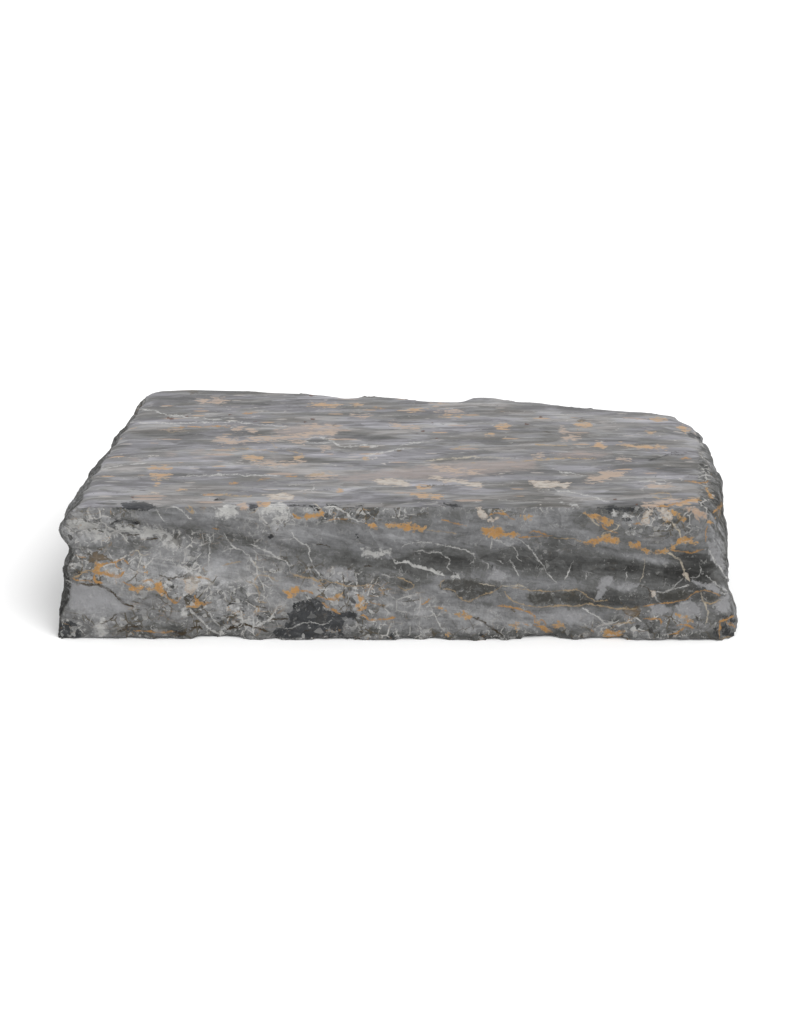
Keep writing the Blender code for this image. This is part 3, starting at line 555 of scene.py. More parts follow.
        "triangle": [(453.6, 572.8), (457.4, 573.4), (459.6, 578.8), (451.6, 578.2)],
        "foot": [(97, 622), (104, 617), (109, 624), (106, 636), (98, 637), (95, 630)],
        "white spot": [(177, 610), (184, 607), (189, 612), (186, 618), (179, 618)],
        "right rim": [(609, 511), (614, 509.6), (618, 513), (612, 515.6)],
        "right rim 2": [(622, 516), (629, 514), (632, 518), (625, 521)],
        "corner": [(627, 532.6), (634, 530), (636, 533), (629, 535)],
        "dash on the rim": [(562, 503.8), (576, 503.4), (577, 505), (564, 505.4)],
    },
    "shadow": {
        "lens": [
            (440, 583), (444.6, 579.5), (450.4, 578.4), (461.8, 579), (473, 579.5), (485, 583), (496, 584),
            (503, 586.4), (498.6, 589.8), (490.5, 592.7), (480, 596.7), (471, 600.7), (465, 600.2),
            (459.5, 598), (455, 593.3), (450.4, 591), (443.5, 589.3), (440, 587.5)],
        "dark lens low": [
            (556, 593), (575, 591.4), (583, 594), (591, 601), (594, 603.4), (580, 604), (563, 604)],
        "dark at the right": [
            (656.6, 593.4), (668, 592), (684, 590), (690, 594), (686, 598.6), (675, 601.8), (662, 602)],
        "dark at the end": [(703, 593.6), (710, 593.6), (719, 597), (719, 600), (710, 602.4), (704, 600)],
        "small lens": [(399, 579), (405, 581.4), (411, 584), (411, 586.6), (405, 588.6), (399, 585)],
        "second lens's end": [(528, 596), (540, 592.6), (552, 593), (556, 604), (540, 605), (530, 603)],
        "corner": [(404, 580), (410, 582), (412, 586), (404, 588)],
    },
    "slate": {
        "break": [
            (293, 602.5), (300, 601.9), (304.5, 599.6), (312.6, 598), (319.5, 599.6), (322, 604.8),
            (329, 610.5), (337, 614), (346, 611.6), (353, 612.8), (357.3, 612.8), (356, 618.5),
            (344.7, 619.7), (342.4, 625.4), (343.6, 636), (325, 638.5), (295, 638.5), (272, 637),
            (274.7, 630), (284, 627.7), (291, 619.7), (288.5, 614), (294, 608)],
        "rim lens": [
            (117, 508), (124, 503.5), (134.6, 501.8), (147, 503), (158.7, 506), (151, 509), (142.7, 510.2),
            (133.5, 509), (124, 508.5)],
        "rim corner": [(249, 505), (257.5, 503.9), (258.6, 507.2), (253, 510.8), (249, 510.2)],
        "corner block": [(60, 622), (70, 621), (77, 626), (81, 633), (79, 641), (58, 641)],
        "rim at the right": [
            (597, 507), (612, 505.6), (626, 507.4), (641, 508.8), (636, 511.6), (618, 511), (604, 510)],
    },
    "black": {
        "notch": [(689, 432), (702.4, 436.8), (700.5, 438.8), (689, 436.3), (687, 433.7)],
        "rim bite": [(309, 507), (314.9, 505.6), (319.6, 508.9), (318.4, 511), (312.6, 509)],
        "slate's head": [(293, 603), (300, 602.5), (301, 606.5), (296, 609), (293, 607)],
        "foot 1": [(173, 631.6), (180, 630.4), (185.4, 632), (184, 636.4), (175, 636)],
        "foot 2": [(387, 638.6), (389, 634.8), (393, 634.4), (395, 638.6)],
        "foot 3": [(478.6, 638.4), (481, 634), (485, 634), (487, 638.4)],
        "foot 4": [(226, 640), (228, 637), (235, 636.8), (236, 640)],
        "end's foot 1": [(721, 626.5), (726, 624), (731, 631), (736, 634), (733, 637), (723, 636.5)],
        "end's foot 2": [(727, 619.6), (735, 617.6), (737, 622), (732, 622.5)],
        "by the end's foot": [(713.6, 627.6), (718, 629.6), (717.4, 637), (712.6, 634.6)],
        "under it": [(717, 618), (724, 614.4), (733, 614.6), (732, 617), (722, 619)],
        "speckle": [(607, 510), (611, 508), (613, 511.6), (609, 514)],
        "speckle 2": [(622, 519), (627, 516.6), (631, 520), (625, 522.6)],
        "speckle 3": [(628, 530), (633, 527.6), (634, 531)],
        "speckle 4": [(451, 505.4), (456, 504), (458, 507.6), (453, 509)],
        "spot": [(269.6, 536), (273, 535.4), (274, 537.8), (270.6, 538.4)],
        "spot 2": [(356, 534.8), (358.6, 535), (359, 537.6), (357, 537.4)],
    },
    "brown": {
        "patch": [
            (87.6, 560), (91, 555.4), (96.7, 552), (102.5, 554.3), (110.5, 558.8), (112, 561), (103.6, 561),
            (95.6, 562.3), (88.7, 563)],
        "fan": [(622, 603.6), (626, 614.5), (634.7, 617.6), (640.6, 613.2), (642, 606), (632, 608.6)],
        "red speck": [(187.6, 392.4), (193, 391), (198, 392.4), (193, 393.6)],
        "rust": [(577.4, 421), (582.5, 418.6), (586, 420.4), (581, 423)],
        "rust 2": [(331, 425.4), (336, 423.8), (339.6, 426.4), (334, 427.2)],
        "rust 3": [(396.6, 451.2), (399.4, 449.6), (401, 451.6), (398, 453)],
        "end's rim": [(713, 513), (719, 509), (722, 500), (723, 512), (719, 518)],
        "stain": [(510, 607.6), (514, 607), (514, 611)],
    },
    "rose": {
        "rose 1": [(126, 458.2), (132, 458), (142.6, 460), (137, 462), (129, 460.6)],
        "rose 2": [(164.6, 454.4), (169, 451.9), (176.4, 452.6), (177.4, 455.2), (171, 456.4)],
        "rose 3": [(190, 452), (198, 449.2), (204.6, 449.4), (201, 452), (193, 454)],
        "rose 4": [(198.6, 457.6), (210.6, 455.7), (216, 456.8), (210.6, 459.1)],
        "zone": [
            (392, 474), (430, 465), (460, 461.4), (535, 459.4), (537, 469), (500, 473), (480, 476),
            (440, 479), (404, 480)],
        "zone 2": [(552, 453), (580, 450.6), (612, 453), (600, 457.6), (560, 457.4)],
        "fan": [(270, 431), (298, 424), (330, 423), (346, 427), (332, 435), (296, 438), (280, 436)],
        "haze": [(330, 478), (380, 470), (430, 465), (440, 470), (400, 478), (350, 482)],
    },
    "pale": {
        "plane": [
            (70, 585), (80, 584), (92, 588), (108, 592), (115, 598), (120, 603), (132, 609), (120, 612),
            (100, 609), (80, 611), (70, 610)],
        "triangle": [(494, 566.9), (502, 571.5), (510, 577), (503, 583), (489, 579), (491.7, 572.6)],
        "blob 1": [
            (601.8, 577.5), (613, 576), (614.4, 580.3), (607.3, 587), (601, 600), (594.6, 599),
            (597.4, 587)],
        "blob 2": [(616.6, 585.8), (628, 584), (639.4, 585.8), (634.7, 590), (623.7, 591.6), (618, 588.7)],
        "blob 3": [(550, 614), (566, 608), (580, 612), (584, 620), (570, 626), (556, 622)],
        "blob 4": [(648, 605), (664, 603.6), (672, 608), (668, 614), (652, 615)],
        "blob 5": [(676, 604), (690, 600), (700, 605), (700, 614), (688, 616), (678, 611)],
        "sweep": [(689.5, 580.3), (703, 583), (717, 584.4), (723, 594), (714, 593), (700.5, 586.4)],
        "plane 2": [(320, 572), (336, 566), (355, 570), (356, 582), (340, 581), (324, 578)],
        "end's light": [(708, 540), (716, 548), (724, 562), (722, 572), (712, 560), (706, 550)],
        "corner": [(716, 600), (728, 594), (731, 606), (724, 614), (714, 612)],
    },
}
# Small rust specks on the top: x, y and half length in pixels.
SPECKS = [
    (168, 417.7, 1.6), (172, 419, 2), (186.6, 416.6, 1.8), (230.5, 414.8, 1.5), (255, 421, 1.4),
    (305, 422, 1.6), (312.6, 419, 2.2), (312, 395, 3), (132.4, 497.4, 1.3), (423, 431, 1.8),
    (431.7, 423, 1.2), (437, 438.4, 1.3), (526.6, 424, 2.2), (615, 499.3, 1.3), (636.7, 504.3, 1.5),
    (541, 417, 1.6), (389, 436, 1.4),
]

# Soft changes of tone: x, y, half length and half height in pixels, tilt in degrees, and how much lighter.
# Most are the stone's own tone. On the front, the dark band, the recess under the left bulge, the lighter
# lower part and the line along the foot are partly painted shade and painted light.
TONES_AND_SHADING = {
    "back left": (195, 408, 36, 5, 0, -0.07),
    "left": (130, 428, 26, 4, -2, -0.06),
    "left middle": (205, 435, 32, 4.5, 2, -0.08),
    "back middle": (285, 404, 26, 3, 2, -0.04),
    "pink light": (312, 436, 36, 8, -3, 0.05),
    "purple grey": (362, 434, 32, 6, 0, -0.09),
    "lilac": (402, 445, 22, 4, 0, 0.05),
    "long light 1": (400, 474, 50, 4, -6, 0.04),
    "long light 2": (500, 463, 60, 5, -4, 0.07),
    "long light 3": (590, 450, 50, 3.5, -6, 0.05),
    "light at 385": (388, 479, 14, 4, 0, 0.04),
    "blue grey": (555, 486, 50, 9, 0, -0.06),
    "right": (655, 466, 45, 6, 0, -0.09),
    "back right": (620, 412, 50, 3, 4, -0.04),
    "lilac left": (130, 483, 42, 9, 0, 0.05),
    "middle": (240, 468, 45, 4, 0, -0.05),
    "low light": (252, 490, 40, 5, 0, 0.03),
    "lower left": (150, 464, 35, 3, 3, -0.05),
    "back light": (560, 414, 45, 3.5, 4, 0.05),
    "mid back": (470, 432, 60, 4, 2, 0.03),
    "lens at the right": (645, 440, 22, 3.6, 2, -0.14),
    "its light": (640, 437.6, 12, 1.2, 4, 0.10),
    "ring's inside": (318, 441, 9, 1.6, 0, -0.05),
    "rim light": (180, 500, 70, 2.5, 0, 0.06),
    "rim dark": (412, 503, 22, 2, 0, -0.12),
    "rim dark right": (640, 500, 30, 3, 0, -0.08),
    "dark corner": (672, 492, 30, 5, 0, -0.05),
    "f lip left": (150, 508, 45, 4, 2, -0.05),
    "f under the lip": (150, 521, 40, 3.5, 3, 0.02),
    "f left light": (88, 528, 22, 9, 10, 0.12),
    "f calcite": (158, 536, 24, 8, 15, 0.10),
    # Painted shade: f dark shelf and f dark left darken the recess under the left part's upper bulge.
    "f dark shelf": (140, 545, 22, 4, 0, -0.10),
    "f dark left": (92, 548, 24, 4, 0, -0.12),
    "f rim blobs": (262, 511, 30, 7, 0, 0.09),
    "f lip light": (190, 512, 30, 6, 4, 0.07),
    # f band 1 to 4 follow the front's dark band: partly darker stone, partly painted shade in the valley
    # under the upper bulge.
    "f band 1": (196, 532, 22, 7, 25, -0.08),
    "f mid light": (335, 538, 60, 12, 4, 0.06),
    "f band 2": (235, 537, 30, 7, 18, -0.07),
    "f band 3": (285, 550, 36, 8, 18, -0.05),
    "f band 4": (340, 556, 34, 8, 8, -0.09),
    "f blue grey": (325, 532, 34, 8, 0, 0.05),
    "f rim middle": (370, 510, 38, 5, 0, -0.06),
    "f dark wedge": (205, 547, 12, 8, 0, -0.12),
    "f light 1": (225, 574, 34, 16, 10, 0.10),
    # f plane and f light 2 to 4 are partly the stone's tone and partly painted light, where the lower front
    # flares out and faces up.
    "f plane": (92, 604, 26, 12, 0, 0.13),
    "f light 2": (300, 590, 30, 10, 0, 0.06),
    "f light 3": (395, 600, 40, 12, 0, 0.06),
    "f light 4": (560, 617, 36, 7, 0, 0.07),
    # f band 5 to 7: more of the dark band, partly darker stone and partly painted shade in the valley.
    "f band 5": (430, 558, 36, 7, 3, -0.12),
    "f band 6": (480, 562, 50, 9, 0, -0.09),
    "f band 7": (560, 565, 50, 10, -2, -0.07),
    # Partly painted light on the lower front, which faces up.
    "f low light": (470, 618, 60, 8, 0, 0.05),
    # f band 8 and 9: the darkest of the band, partly darker stone and partly painted shade in the valley.
    "f band 8": (640, 571, 60, 9, 3, -0.21),
    "f band 9": (695, 565, 26, 12, 10, -0.22),
    "f streak": (660, 561, 24, 3, 8, 0.30),
    "f wedge": (404, 583, 12, 5, 5, -0.12),
    "f dark 1": (560, 598, 40, 7, 0, -0.16),
    "f dark 2": (625, 600, 40, 7, 0, -0.16),
    "f dark 3": (690, 598, 34, 6, 0, -0.12),
    "f rim right": (630, 510, 30, 5, 0, -0.20),
    "f dark right": (602, 528, 22, 6, 20, -0.08),
    "f upper light": (556, 522, 34, 9, 0, 0.05),
    "f upper grey": (430, 513, 50, 5, 0, -0.05),
    "f left middle": (150, 580, 40, 16, 0, 0.06),
    "f foot brown": (150, 629, 45, 5, 0, -0.08),
    "f corner": (720, 628, 14, 12, 0, -0.12),
    # f foot light: partly painted light on the lower front, which faces up.
    "f foot light": (150, 617, 50, 5, 0, 0.05),
    # Painted shade: a thin dark line along the whole foot of the front, where it meets the floor.
    "f foot": (420, 636, 260, 2.5, 0, -0.08),
    "f right low": (660, 628, 50, 8, 0, -0.05),
    "f end light": (716, 538, 8, 24, -10, 0.05),
    "f end edge": (728, 540, 4, 40, -8, -0.20),
    "f end upper": (718, 500, 8, 14, -10, -0.12),
    "f lens 2 light": (517, 595, 8, 4, 0, 0.10),
    "f left top": (76, 515, 10, 10, 0, 0.05),
}
# Where the hewn stone is smooth and even, and not mottled: as above, and how much so.
CALM = {
    "plane": (94, 600, 30, 13, 12, 1.2),
    "beside the net": (165, 566, 14, 9, 0, 0.8),
    "light plane": (222, 562, 18, 16, 0, 0.9),
    "under the lip": (178, 517, 40, 10, 5, 1.2),
    "blue grey": (322, 531, 34, 10, 0, 0.7),
    "dark band": (400, 556, 110, 14, 4, 1.0),
    "dark band's right": (600, 566, 120, 24, 2, 1.3),
    "upper grey": (555, 526, 44, 12, 0, 0.9),
    "lenses": (610, 596, 100, 12, 0, 0.9),
    "first lens": (468, 588, 30, 10, 0, 0.9),
    "low plane": (430, 622, 60, 10, 5, 0.55),
    "low light": (560, 616, 40, 9, 0, 0.8),
    "right end": (722, 555, 14, 50, -8, 0.9),
    "shelf": (118, 547, 40, 6, 0, 0.7),
    "slate": (316, 620, 24, 14, 0, 0.6),
    "upper middle": (452, 519, 28, 11, 0, 0.9),
    "by the rim": (400, 533, 30, 8, 0, 0.5),
    "under the shell": (586, 520, 20, 9, 0, 0.6),
    "middle": (292, 588, 16, 12, 0, 0.7),
}

# The pixel columns over which the worked top gives way to the hewn right rim.
RIGHT_RIM = (690.0, 708.0)
# The left end: the normals and the places that it covers, and how much darker than the front it is, partly as
# painted shade where it faces away from the light and partly as darker stone. From the first of the two
# heights to the second, that falls to a share of itself.
LEFT_END_FACING = (0.50, 0.72)
LEFT_END_X = (-0.56, -0.50)
LEFT_END_SHADE_AND_DARK_STONE = 0.33
LEFT_END_LIGHT = (0.105, 0.185)
LEFT_END_LIGHT_SHARE = 0.35
RIGHT_END_FACING = (0.30, 0.60)
# How calm the hidden faces and both ends are at least.
HIDDEN_CALM = 0.3
END_CALM = 0.75
# How light the top, the seen sides and the hidden sides are, from 0 to 1.
TOP_TONE = 0.538
FRONT_TONE = 0.525
HIDDEN_TONE = 0.48

# The kinds of patch that one stored vector holds. It has three numbers, so the last kind stands twice.
PATCH_SETS = {
    "patch_0": ("pale", "rose", "shadow"),
    "patch_1": ("slate", "brown", "calcite"),
    "patch_2": ("cream", "peach", "ochre"),
    "patch_3": ("black", "speck", "speck"),
}
# Each kind of patch, in the order that they cover one another: its colours in its middle and at its edge,
# how ragged its edge is and how soft, both in pixels, how much it covers, and how much of that is left
# where it is torn.
PATCH_LOOKS = {
    "pale": ((168, 168, 170), (156, 156, 157), 2.8, 2.6, 0.85, 0.8),
    "rose": ((172, 158, 152), (158, 150, 147), 2.6, 5.0, 0.6, 0.5),
    "shadow": ((68, 67, 62), (92, 90, 84), 3.0, 5.5, 0.85, 0.5),
    "slate": ((40, 43, 47), (58, 60, 63), 2.0, 0.9, 0.86, 0.8),
    "brown": ((112, 94, 70), (92, 82, 66), 2.2, 1.0, 0.85, 0.5),
    "calcite": ((210, 209, 206), (172, 172, 171), 3.2, 1.0, 0.92, 0.35),
    "cream": ((214, 205, 194), (192, 178, 164), 2.2, 0.7, 0.92, 0.4),
    "peach": ((200, 172, 148), (180, 164, 152), 3.6, 0.9, 0.88, 0.2),
    "ochre": ((206, 156, 94), (190, 160, 120), 2.8, 0.6, 0.95, 0.30),
    "black": ((34, 36, 39), (62, 64, 66), 2.2, 0.8, 0.93, 0.5),
    "speck": ((110, 62, 40), (84, 52, 40), 0.8, 0.5, 0.9, 0.9),
}
# The worked top's ochre and peach patches are bleached by this share towards this colour.
BLEACHED = ("ochre", "peach")
BLEACH = (196, 184, 174)
BLEACH_SHARE = 0.32

LINE_COLOURS = {
    WHITE: (206, 205, 202),
    CREAM: (198, 188, 170),
    TAN: (178, 156, 124),
    OCHRE: (188, 144, 90),
    BROWN: (68, 56, 38),
    DARK: (40, 40, 41),
}
# The marble's greys. The dark ones are a little green and the light ones a little blue.
GREYS = (24, 45, 66, 88, 110, 132, 152, 172, 192, 214)
LIGHT_GREY = 120
DARK_CAST = 1.5
LIGHT_CAST = -0.5

# How bright the stage's light makes a white surface, so that a colour seen in the photograph can be undone.
LIGHT = 1.72
FLOOR_SIZE = 400.0
FLOOR_COLOUR = (0.86, 0.86, 0.86, 1.0)
WORLD_COLOUR = (1.0, 1.0, 1.0, 1.0)
WORLD_STRENGTH = 1.0
SUN_FROM = (0.55, -0.62, 0.8)
SUN_STRENGTH = 2.2
SUN_SPREAD = 40.0


def eased(value, low, high):
    """0 below low and 1 above high, with a smooth rise between."""
    share = np.clip((value - low) / (high - low), 0.0, 1.0)
    return share * share * (3.0 - 2.0 * share)


# ---- the camera -------------------------------------------------------------------------------


def camera_axes():
    """The camera's own right, up and forward directions."""
    pitch = math.radians(CAMERA_PITCH)
    right = np.array((1.0, 0.0, 0.0))
    up = np.array((0.0, math.sin(pitch), math.cos(pitch)))
    forward = np.array((0.0, math.cos(pitch), -math.sin(pitch)))
    return right, up, forward


def to_photo(points):
    """The pixels of the photograph where these points are seen."""
    right, up, forward = camera_axes()
    focal = CAMERA_LENS / CAMERA_SENSOR * PHOTO_HEIGHT
    rays = points - np.array(CAMERA_AT)
    depth = rays @ forward
    across = PHOTO_WIDTH / 2 + rays @ right / depth * focal
    down = PHOTO_HEIGHT / 2 - rays @ up / depth * focal
    return np.stack([across, down], axis=1)


def add_camera():
    data = bpy.data.cameras.new("photo_camera")
    data.lens = CAMERA_LENS
    data.sensor_width = CAMERA_SENSOR
    data.sensor_fit = "AUTO"
    data.clip_end = CAMERA_REACH
    camera = bpy.data.objects.new("photo_camera", data)
    camera.location = CAMERA_AT
    camera.rotation_euler = (math.radians(90.0 - CAMERA_PITCH), 0.0, 0.0)
    bpy.context.scene.collection.objects.link(camera)
    bpy.context.scene.camera = camera


# ---- the mesh ---------------------------------------------------------------------------------


def remeshed(node):
    """A new object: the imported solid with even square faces."""
    block = bpy.data.objects.new("block", node.data.copy())
    bpy.context.scene.collection.objects.link(block)
    even = block.modifiers.new("even", "REMESH")
    even.mode = "VOXEL"
    even.voxel_size = VOXEL
    graph = bpy.context.evaluated_depsgraph_get()
    mesh = bpy.data.meshes.new_from_object(block.evaluated_get(graph))
    block.modifiers.clear()
    block.data = mesh
    block.data.materials.clear()
    return block


def saw_flat(shape):
    """Cuts the rounded foot off, runs the sides straight down to the floor and closes them with one face."""
    everything = shape.verts[:] + shape.edges[:] + shape.faces[:]
    bmesh.ops.bisect_plane(
        shape, geom=everything, plane_co=(0, 0, SAW_CUT), plane_no=(0, 0, -1), clear_outer=True)
    rim = [edge for edge in shape.edges if edge.is_boundary]
    grown = bmesh.ops.extrude_edge_only(shape, edges=rim)["geom"]
    for vert in grown:
        if isinstance(vert, bmesh.types.BMVert):
            vert.co.z = 0.0
    rim = [edge for edge in shape.edges if edge.is_boundary]
    bmesh.ops.contextual_create(shape, geom=rim)


def wants_detail(face):
    """Whether a face is on the front, on its rim or on the upper part of an end."""
    middle = face.calc_center_median()
    normal = face.normal
    on_front = normal.y < FRONT_NORMAL_Y
    on_rim = middle.y < RIM_FRONT_Y and middle.z > RIM_HEIGHT and normal.z > RIM_NORMAL_Z
    on_end = abs(normal.x) > END_NORMAL_X and middle.z > END_HEIGHT and normal.z < END_NORMAL_Z
    return len(face.verts) == 4 and (on_front or on_rim or on_end)


def refine(shape):
    """Quarters the faces that want detail."""
    shape.normal_update()
    for face in shape.faces:
        face.tag = wants_detail(face)
    edges = [edge for edge in shape.edges if any(face.tag for face in edge.link_faces)]
    bmesh.ops.subdivide_edges(shape, edges=edges, cuts=1, use_grid_fill=True)


def in_order(shape):
    """The points and faces of a bmesh, always in the same order."""
    verts = sorted(shape.verts, key=lambda vert: vert.co[:])
    rank = {vert: index for index, vert in enumerate(verts)}
    faces = []
    for face in shape.faces:
        corners = [rank[vert] for vert in face.verts]
        first = corners.index(min(corners))
        faces.append(corners[first:] + corners[:first])
    return [vert.co[:] for vert in verts], sorted(faces)


def rows_of(items, field):
    """A field of the mesh's points or normals, as rows of three numbers."""
    rows = np.empty(len(items) * 3)
    items.foreach_get(field, rows)
    return rows.reshape(-1, 3)


def smooth(mesh):
    """Moves each point towards its neighbours, and keeps the foot on the floor."""
    points = rows_of(mesh.vertices, "co")
    ends = np.array([edge.vertices[:] for edge in mesh.edges])
    count = np.bincount(ends.ravel(), minlength=len(points))[:, None]
    foot = points[:, 2] <= 0.0
    for _ in range(SMOOTH_ROUNDS):
        total = np.zeros_like(points)
        np.add.at(total, ends[:, 0], points[ends[:, 1]])
        np.add.at(total, ends[:, 1], points[ends[:, 0]])
        points += (total / count - points) * SMOOTH_SHARE
        points[foot, 2] = 0.0
    mesh.vertices.foreach_set("co", points.ravel())
    mesh.update()


def waves(point, octaves=3):
    """Noise in octaves, each twice as fine and half as strong as the one before."""
    return noise.fractal(point, 1.0, 2.0, octaves)


def chips(point):
    """The flat faces that chips leave: each has a tilt and a step of its own, and they meet in edges."""
    distances, centres = noise.voronoi(point / CHIP_SIZE)
    heights = []
    for centre in centres[:2]:
        tilt = noise.noise_vector(centre * TILT_SPREAD) * CHIP_TILT
        step = noise.noise(centre * STEP_SPREAD) * CHIP_STEP
        heights.append(tilt.dot(point - centre * CHIP_SIZE) + step)
    share = min(1.0, max(0.0, (distances[1] - distances[0]) / CHIP_EDGE))
    return heights[0] * (0.5 + 0.5 * share) + heights[1] * (0.5 - 0.5 * share)


def ledges(point):
    """Beds of the stone that stand out and fall back in steps."""
    finely, wander = LEDGE_WANDER
    height = point.z + point.x * LEDGE_SLOPE + waves(point * finely) * wander
    share = (height / LEDGE_HEIGHT) % 1.0
    if share < LEDGE_BRINK:
        step = share ** 3
    else:
        step = (1.0 - share) / (1.0 - LEDGE_BRINK) * LEDGE_BRINK ** 3
    finely, shift, raised = LEDGE_PLACES
    strength = max(0.0, waves(point * finely + shift, 2) + raised)
    return step * strength * LEDGE_DEPTH


def hewn_relief(point, front, calm):
    """How far the relief of the hewn sides stands out at a point."""
    height = chips(point) * (1.0 - front + front * CHIP_ON_FRONT)
    height += ledges(point) * (LEDGE_OFF_FRONT + (1.0 - LEDGE_OFF_FRONT) * front)
    height *= 1.0 - calm * (1.0 - CALM_RELIEF)
    for finely, depth in ROUGH:
        height += waves(point * finely) * depth
    return height


def worked_relief(point):
    """How far the faint, drawn-out waves of the worked top stand out at a point."""
    height = 0.0
    for across, deep, depth in TOP_ROUGH:
        height += waves(Vector((point.x * across, point.y * deep, point.z * deep))) * depth
    return height


def carve(mesh, cut):
    """Moves each point along its normal, and only sideways near the floor."""
    points = rows_of(mesh.vertices, "co")
    moved = points.copy()
    for index, place in enumerate(points):
        point = Vector(place)
        share = cut.worked[index]
        height = 0.0
        if share < 1.0:
            height += hewn_relief(point, cut.front[index], cut.calm[index]) * (1.0 - share)
        if share > 0.0:
            height += worked_relief(point) * share
        moved[index] += cut.normals[index] * (height - cut.grooves[index])
    lift = np.clip(points[:, 2] / FOOT_HEIGHT, 0.0, 1.0)
    moved[:, 2] = np.maximum(points[:, 2] + (moved[:, 2] - points[:, 2]) * lift, 0.0)
    mesh.vertices.foreach_set("co", moved.ravel())
    mesh.update()


# ---- marks thrown from the camera ---------------------------------------------------------------


def curve_through(points):
    """The pixels of a smooth curve through these ones, about one apart."""
    points = np.array(points, float)
    rows = np.vstack([2 * points[0] - points[1], points, 2 * points[-1] - points[-2]])
    pieces = []
    for a, b, c, d in zip(rows, rows[1:], rows[2:], rows[3:]):
        count = max(1, int(round(np.linalg.norm(c - b))))
        t = np.arange(count)[:, None] / count
        bend = 2 * a - 5 * b + 4 * c - d + t * (3 * (b - c) + d - a)
        pieces.append(b + 0.5 * t * (c - a + t * bend))
    return np.vstack(pieces + [points[-1:]])


def near_box(pixels, points):
    """Which pixels are in the box round some points, or within REACH of it."""
    inside = (pixels > points.min(axis=0) - REACH) & (pixels < points.max(axis=0) + REACH)
    return np.flatnonzero(inside.all(axis=1))


def line_field(pixels, half_width, points):
    """Which pixels are near a line, their signed distance from it, and its half width there.

    The half width falls away at the line's ends and beside it.
    """
    curve = curve_through(points)
    near = near_box(pixels, curve)
    along = np.gradient(curve, axis=0)
    along /= np.linalg.norm(along, axis=1)[:, None]
    nearest = ((pixels[near, None] - curve[None]) ** 2).sum(axis=2).argmin(axis=1)
    gap = pixels[near] - curve[nearest]
    distance = np.linalg.norm(gap, axis=1)
    close = distance < REACH
    near, nearest, gap, distance = near[close], nearest[close], gap[close], distance[close]
    side = along[nearest][:, ::-1] * (-1.0, 1.0)
    offset = (gap * side).sum(axis=1)
    past = np.abs((gap * along[nearest]).sum(axis=1))
    to_end = np.minimum(nearest, len(curve) - 1 - nearest)
    width = half_width * np.minimum(1.0, LINE_TIP + to_end / LINE_TAPER)
    width -= np.where(to_end == 0, past, 0.0) + np.maximum(0.0, distance - LINE_CORE) * LINE_FALL
    return near, offset, np.maximum(width, NO_WIDTH)


def line_layers(pixels, seen):
    """The lines, in layers where no two come near. Each holds distances, half widths and kinds."""
    layers, taken = [], []
    for kind, half_width, points in (*TOP_LINES.values(), *FRONT_LINES.values()):
        near, offset, width = line_field(pixels, half_width, points)
        free = [index for index, used in enumerate(taken) if not used[near].any()]
        if not free:
            layers.append(np.tile(NO_LINE, (len(pixels), 1)))
            taken.append(np.zeros(len(pixels), bool))
            free = [len(layers) - 1]
        taken[free[0]][near] = True
        layers[free[0]][near] = np.stack([offset, width, np.full(len(near), float(kind))], axis=1)
    for layer in layers:
        layer[~seen] = NO_LINE
    return layers


def patch_field(pixels, corners):
    """Which pixels are near an outline, and their distance inside it, below 0 outside."""
    corners = np.array(corners, float)
    near = near_box(pixels, corners)
    at = pixels[near]
    inside = np.zeros(len(near), bool)
    distance = np.full(len(near), REACH)
    for start, end in zip(corners, np.roll(corners, -1, axis=0)):
        edge = end - start
        share = np.clip(((at - start) @ edge) / (edge @ edge), 0.0, 1.0)
        distance = np.minimum(distance, np.linalg.norm(at - start - share[:, None] * edge, axis=1))
        crosses = (start[1] > at[:, 1]) != (end[1] > at[:, 1])
        rise = edge[1] if edge[1] else 1.0
        inside ^= crosses & (at[:, 0] < start[0] + edge[0] * (at[:, 1] - start[1]) / rise)
    return near, np.where(inside, distance, -distance)


def patch_depths(pixels, seen):
    """For each kind of patch, how far inside one the pixels are."""
    found = {"speck": speck_depth(pixels, seen)}
    for kind, outlines in PATCHES.items():
        depth = np.full(len(pixels), -REACH)
        for corners in outlines.values():
            near, inside = patch_field(pixels, corners)
            depth[near] = np.maximum(depth[near], inside)
        found[kind] = np.where(seen, depth, -REACH)
    return found


def speck_depth(pixels, seen):
    """How far inside a speck, an oval twice as long as it is high, the pixels are."""
    depth = np.full(len(pixels), -REACH)
    for across, down, size in SPECKS:
        gap = (pixels - (across, down)) / (size, size * 0.5)
        depth = np.maximum(depth, (1.0 - np.linalg.norm(gap, axis=1)) * size)
    return np.where(seen, depth, -REACH)


def soft_spots(pixels, spots):
    """The sum of soft oval spots at each pixel."""
    total = np.zeros(len(pixels))
    for across, down, length, height, tilt, amount in spots.values():
        turn = math.radians(tilt)
        gap = pixels - (across, down)
        along = gap @ (math.cos(turn), math.sin(turn)) / length
        over = gap @ (-math.sin(turn), math.cos(turn)) / height
        total += amount * np.exp(-0.5 * (along ** 2 + over ** 2))
    return total


def tones_with_shading(pixels, seen, worked):
    """How light the stone is, from 0 to 1, before its veins, with the painted shade and light of some of the
    front's spots.
    """
    tone = FRONT_TONE + (TOP_TONE - FRONT_TONE) * worked + soft_spots(pixels, TONES_AND_SHADING)
    hidden = HIDDEN_TONE + (TOP_TONE - HIDDEN_TONE) * worked
    return np.where(seen, tone, hidden)


def groove_depths(layers, slate):
    """How deep the lines and the slate patches lie."""
    depth = eased(slate, *SLATE_EDGE) * SLATE_DEPTH
    kinds = np.array([LINE_DEPTH[kind] for kind in range(len(LINE_DEPTH))])
    for layer in layers:
        offset, width, kind = layer.T
        share = eased(LINE_GROOVE - np.abs(offset), 0.0, LINE_GROOVE) * (width > 0.0)
        depth += kinds[kind.round().astype(int)] * share
    return depth


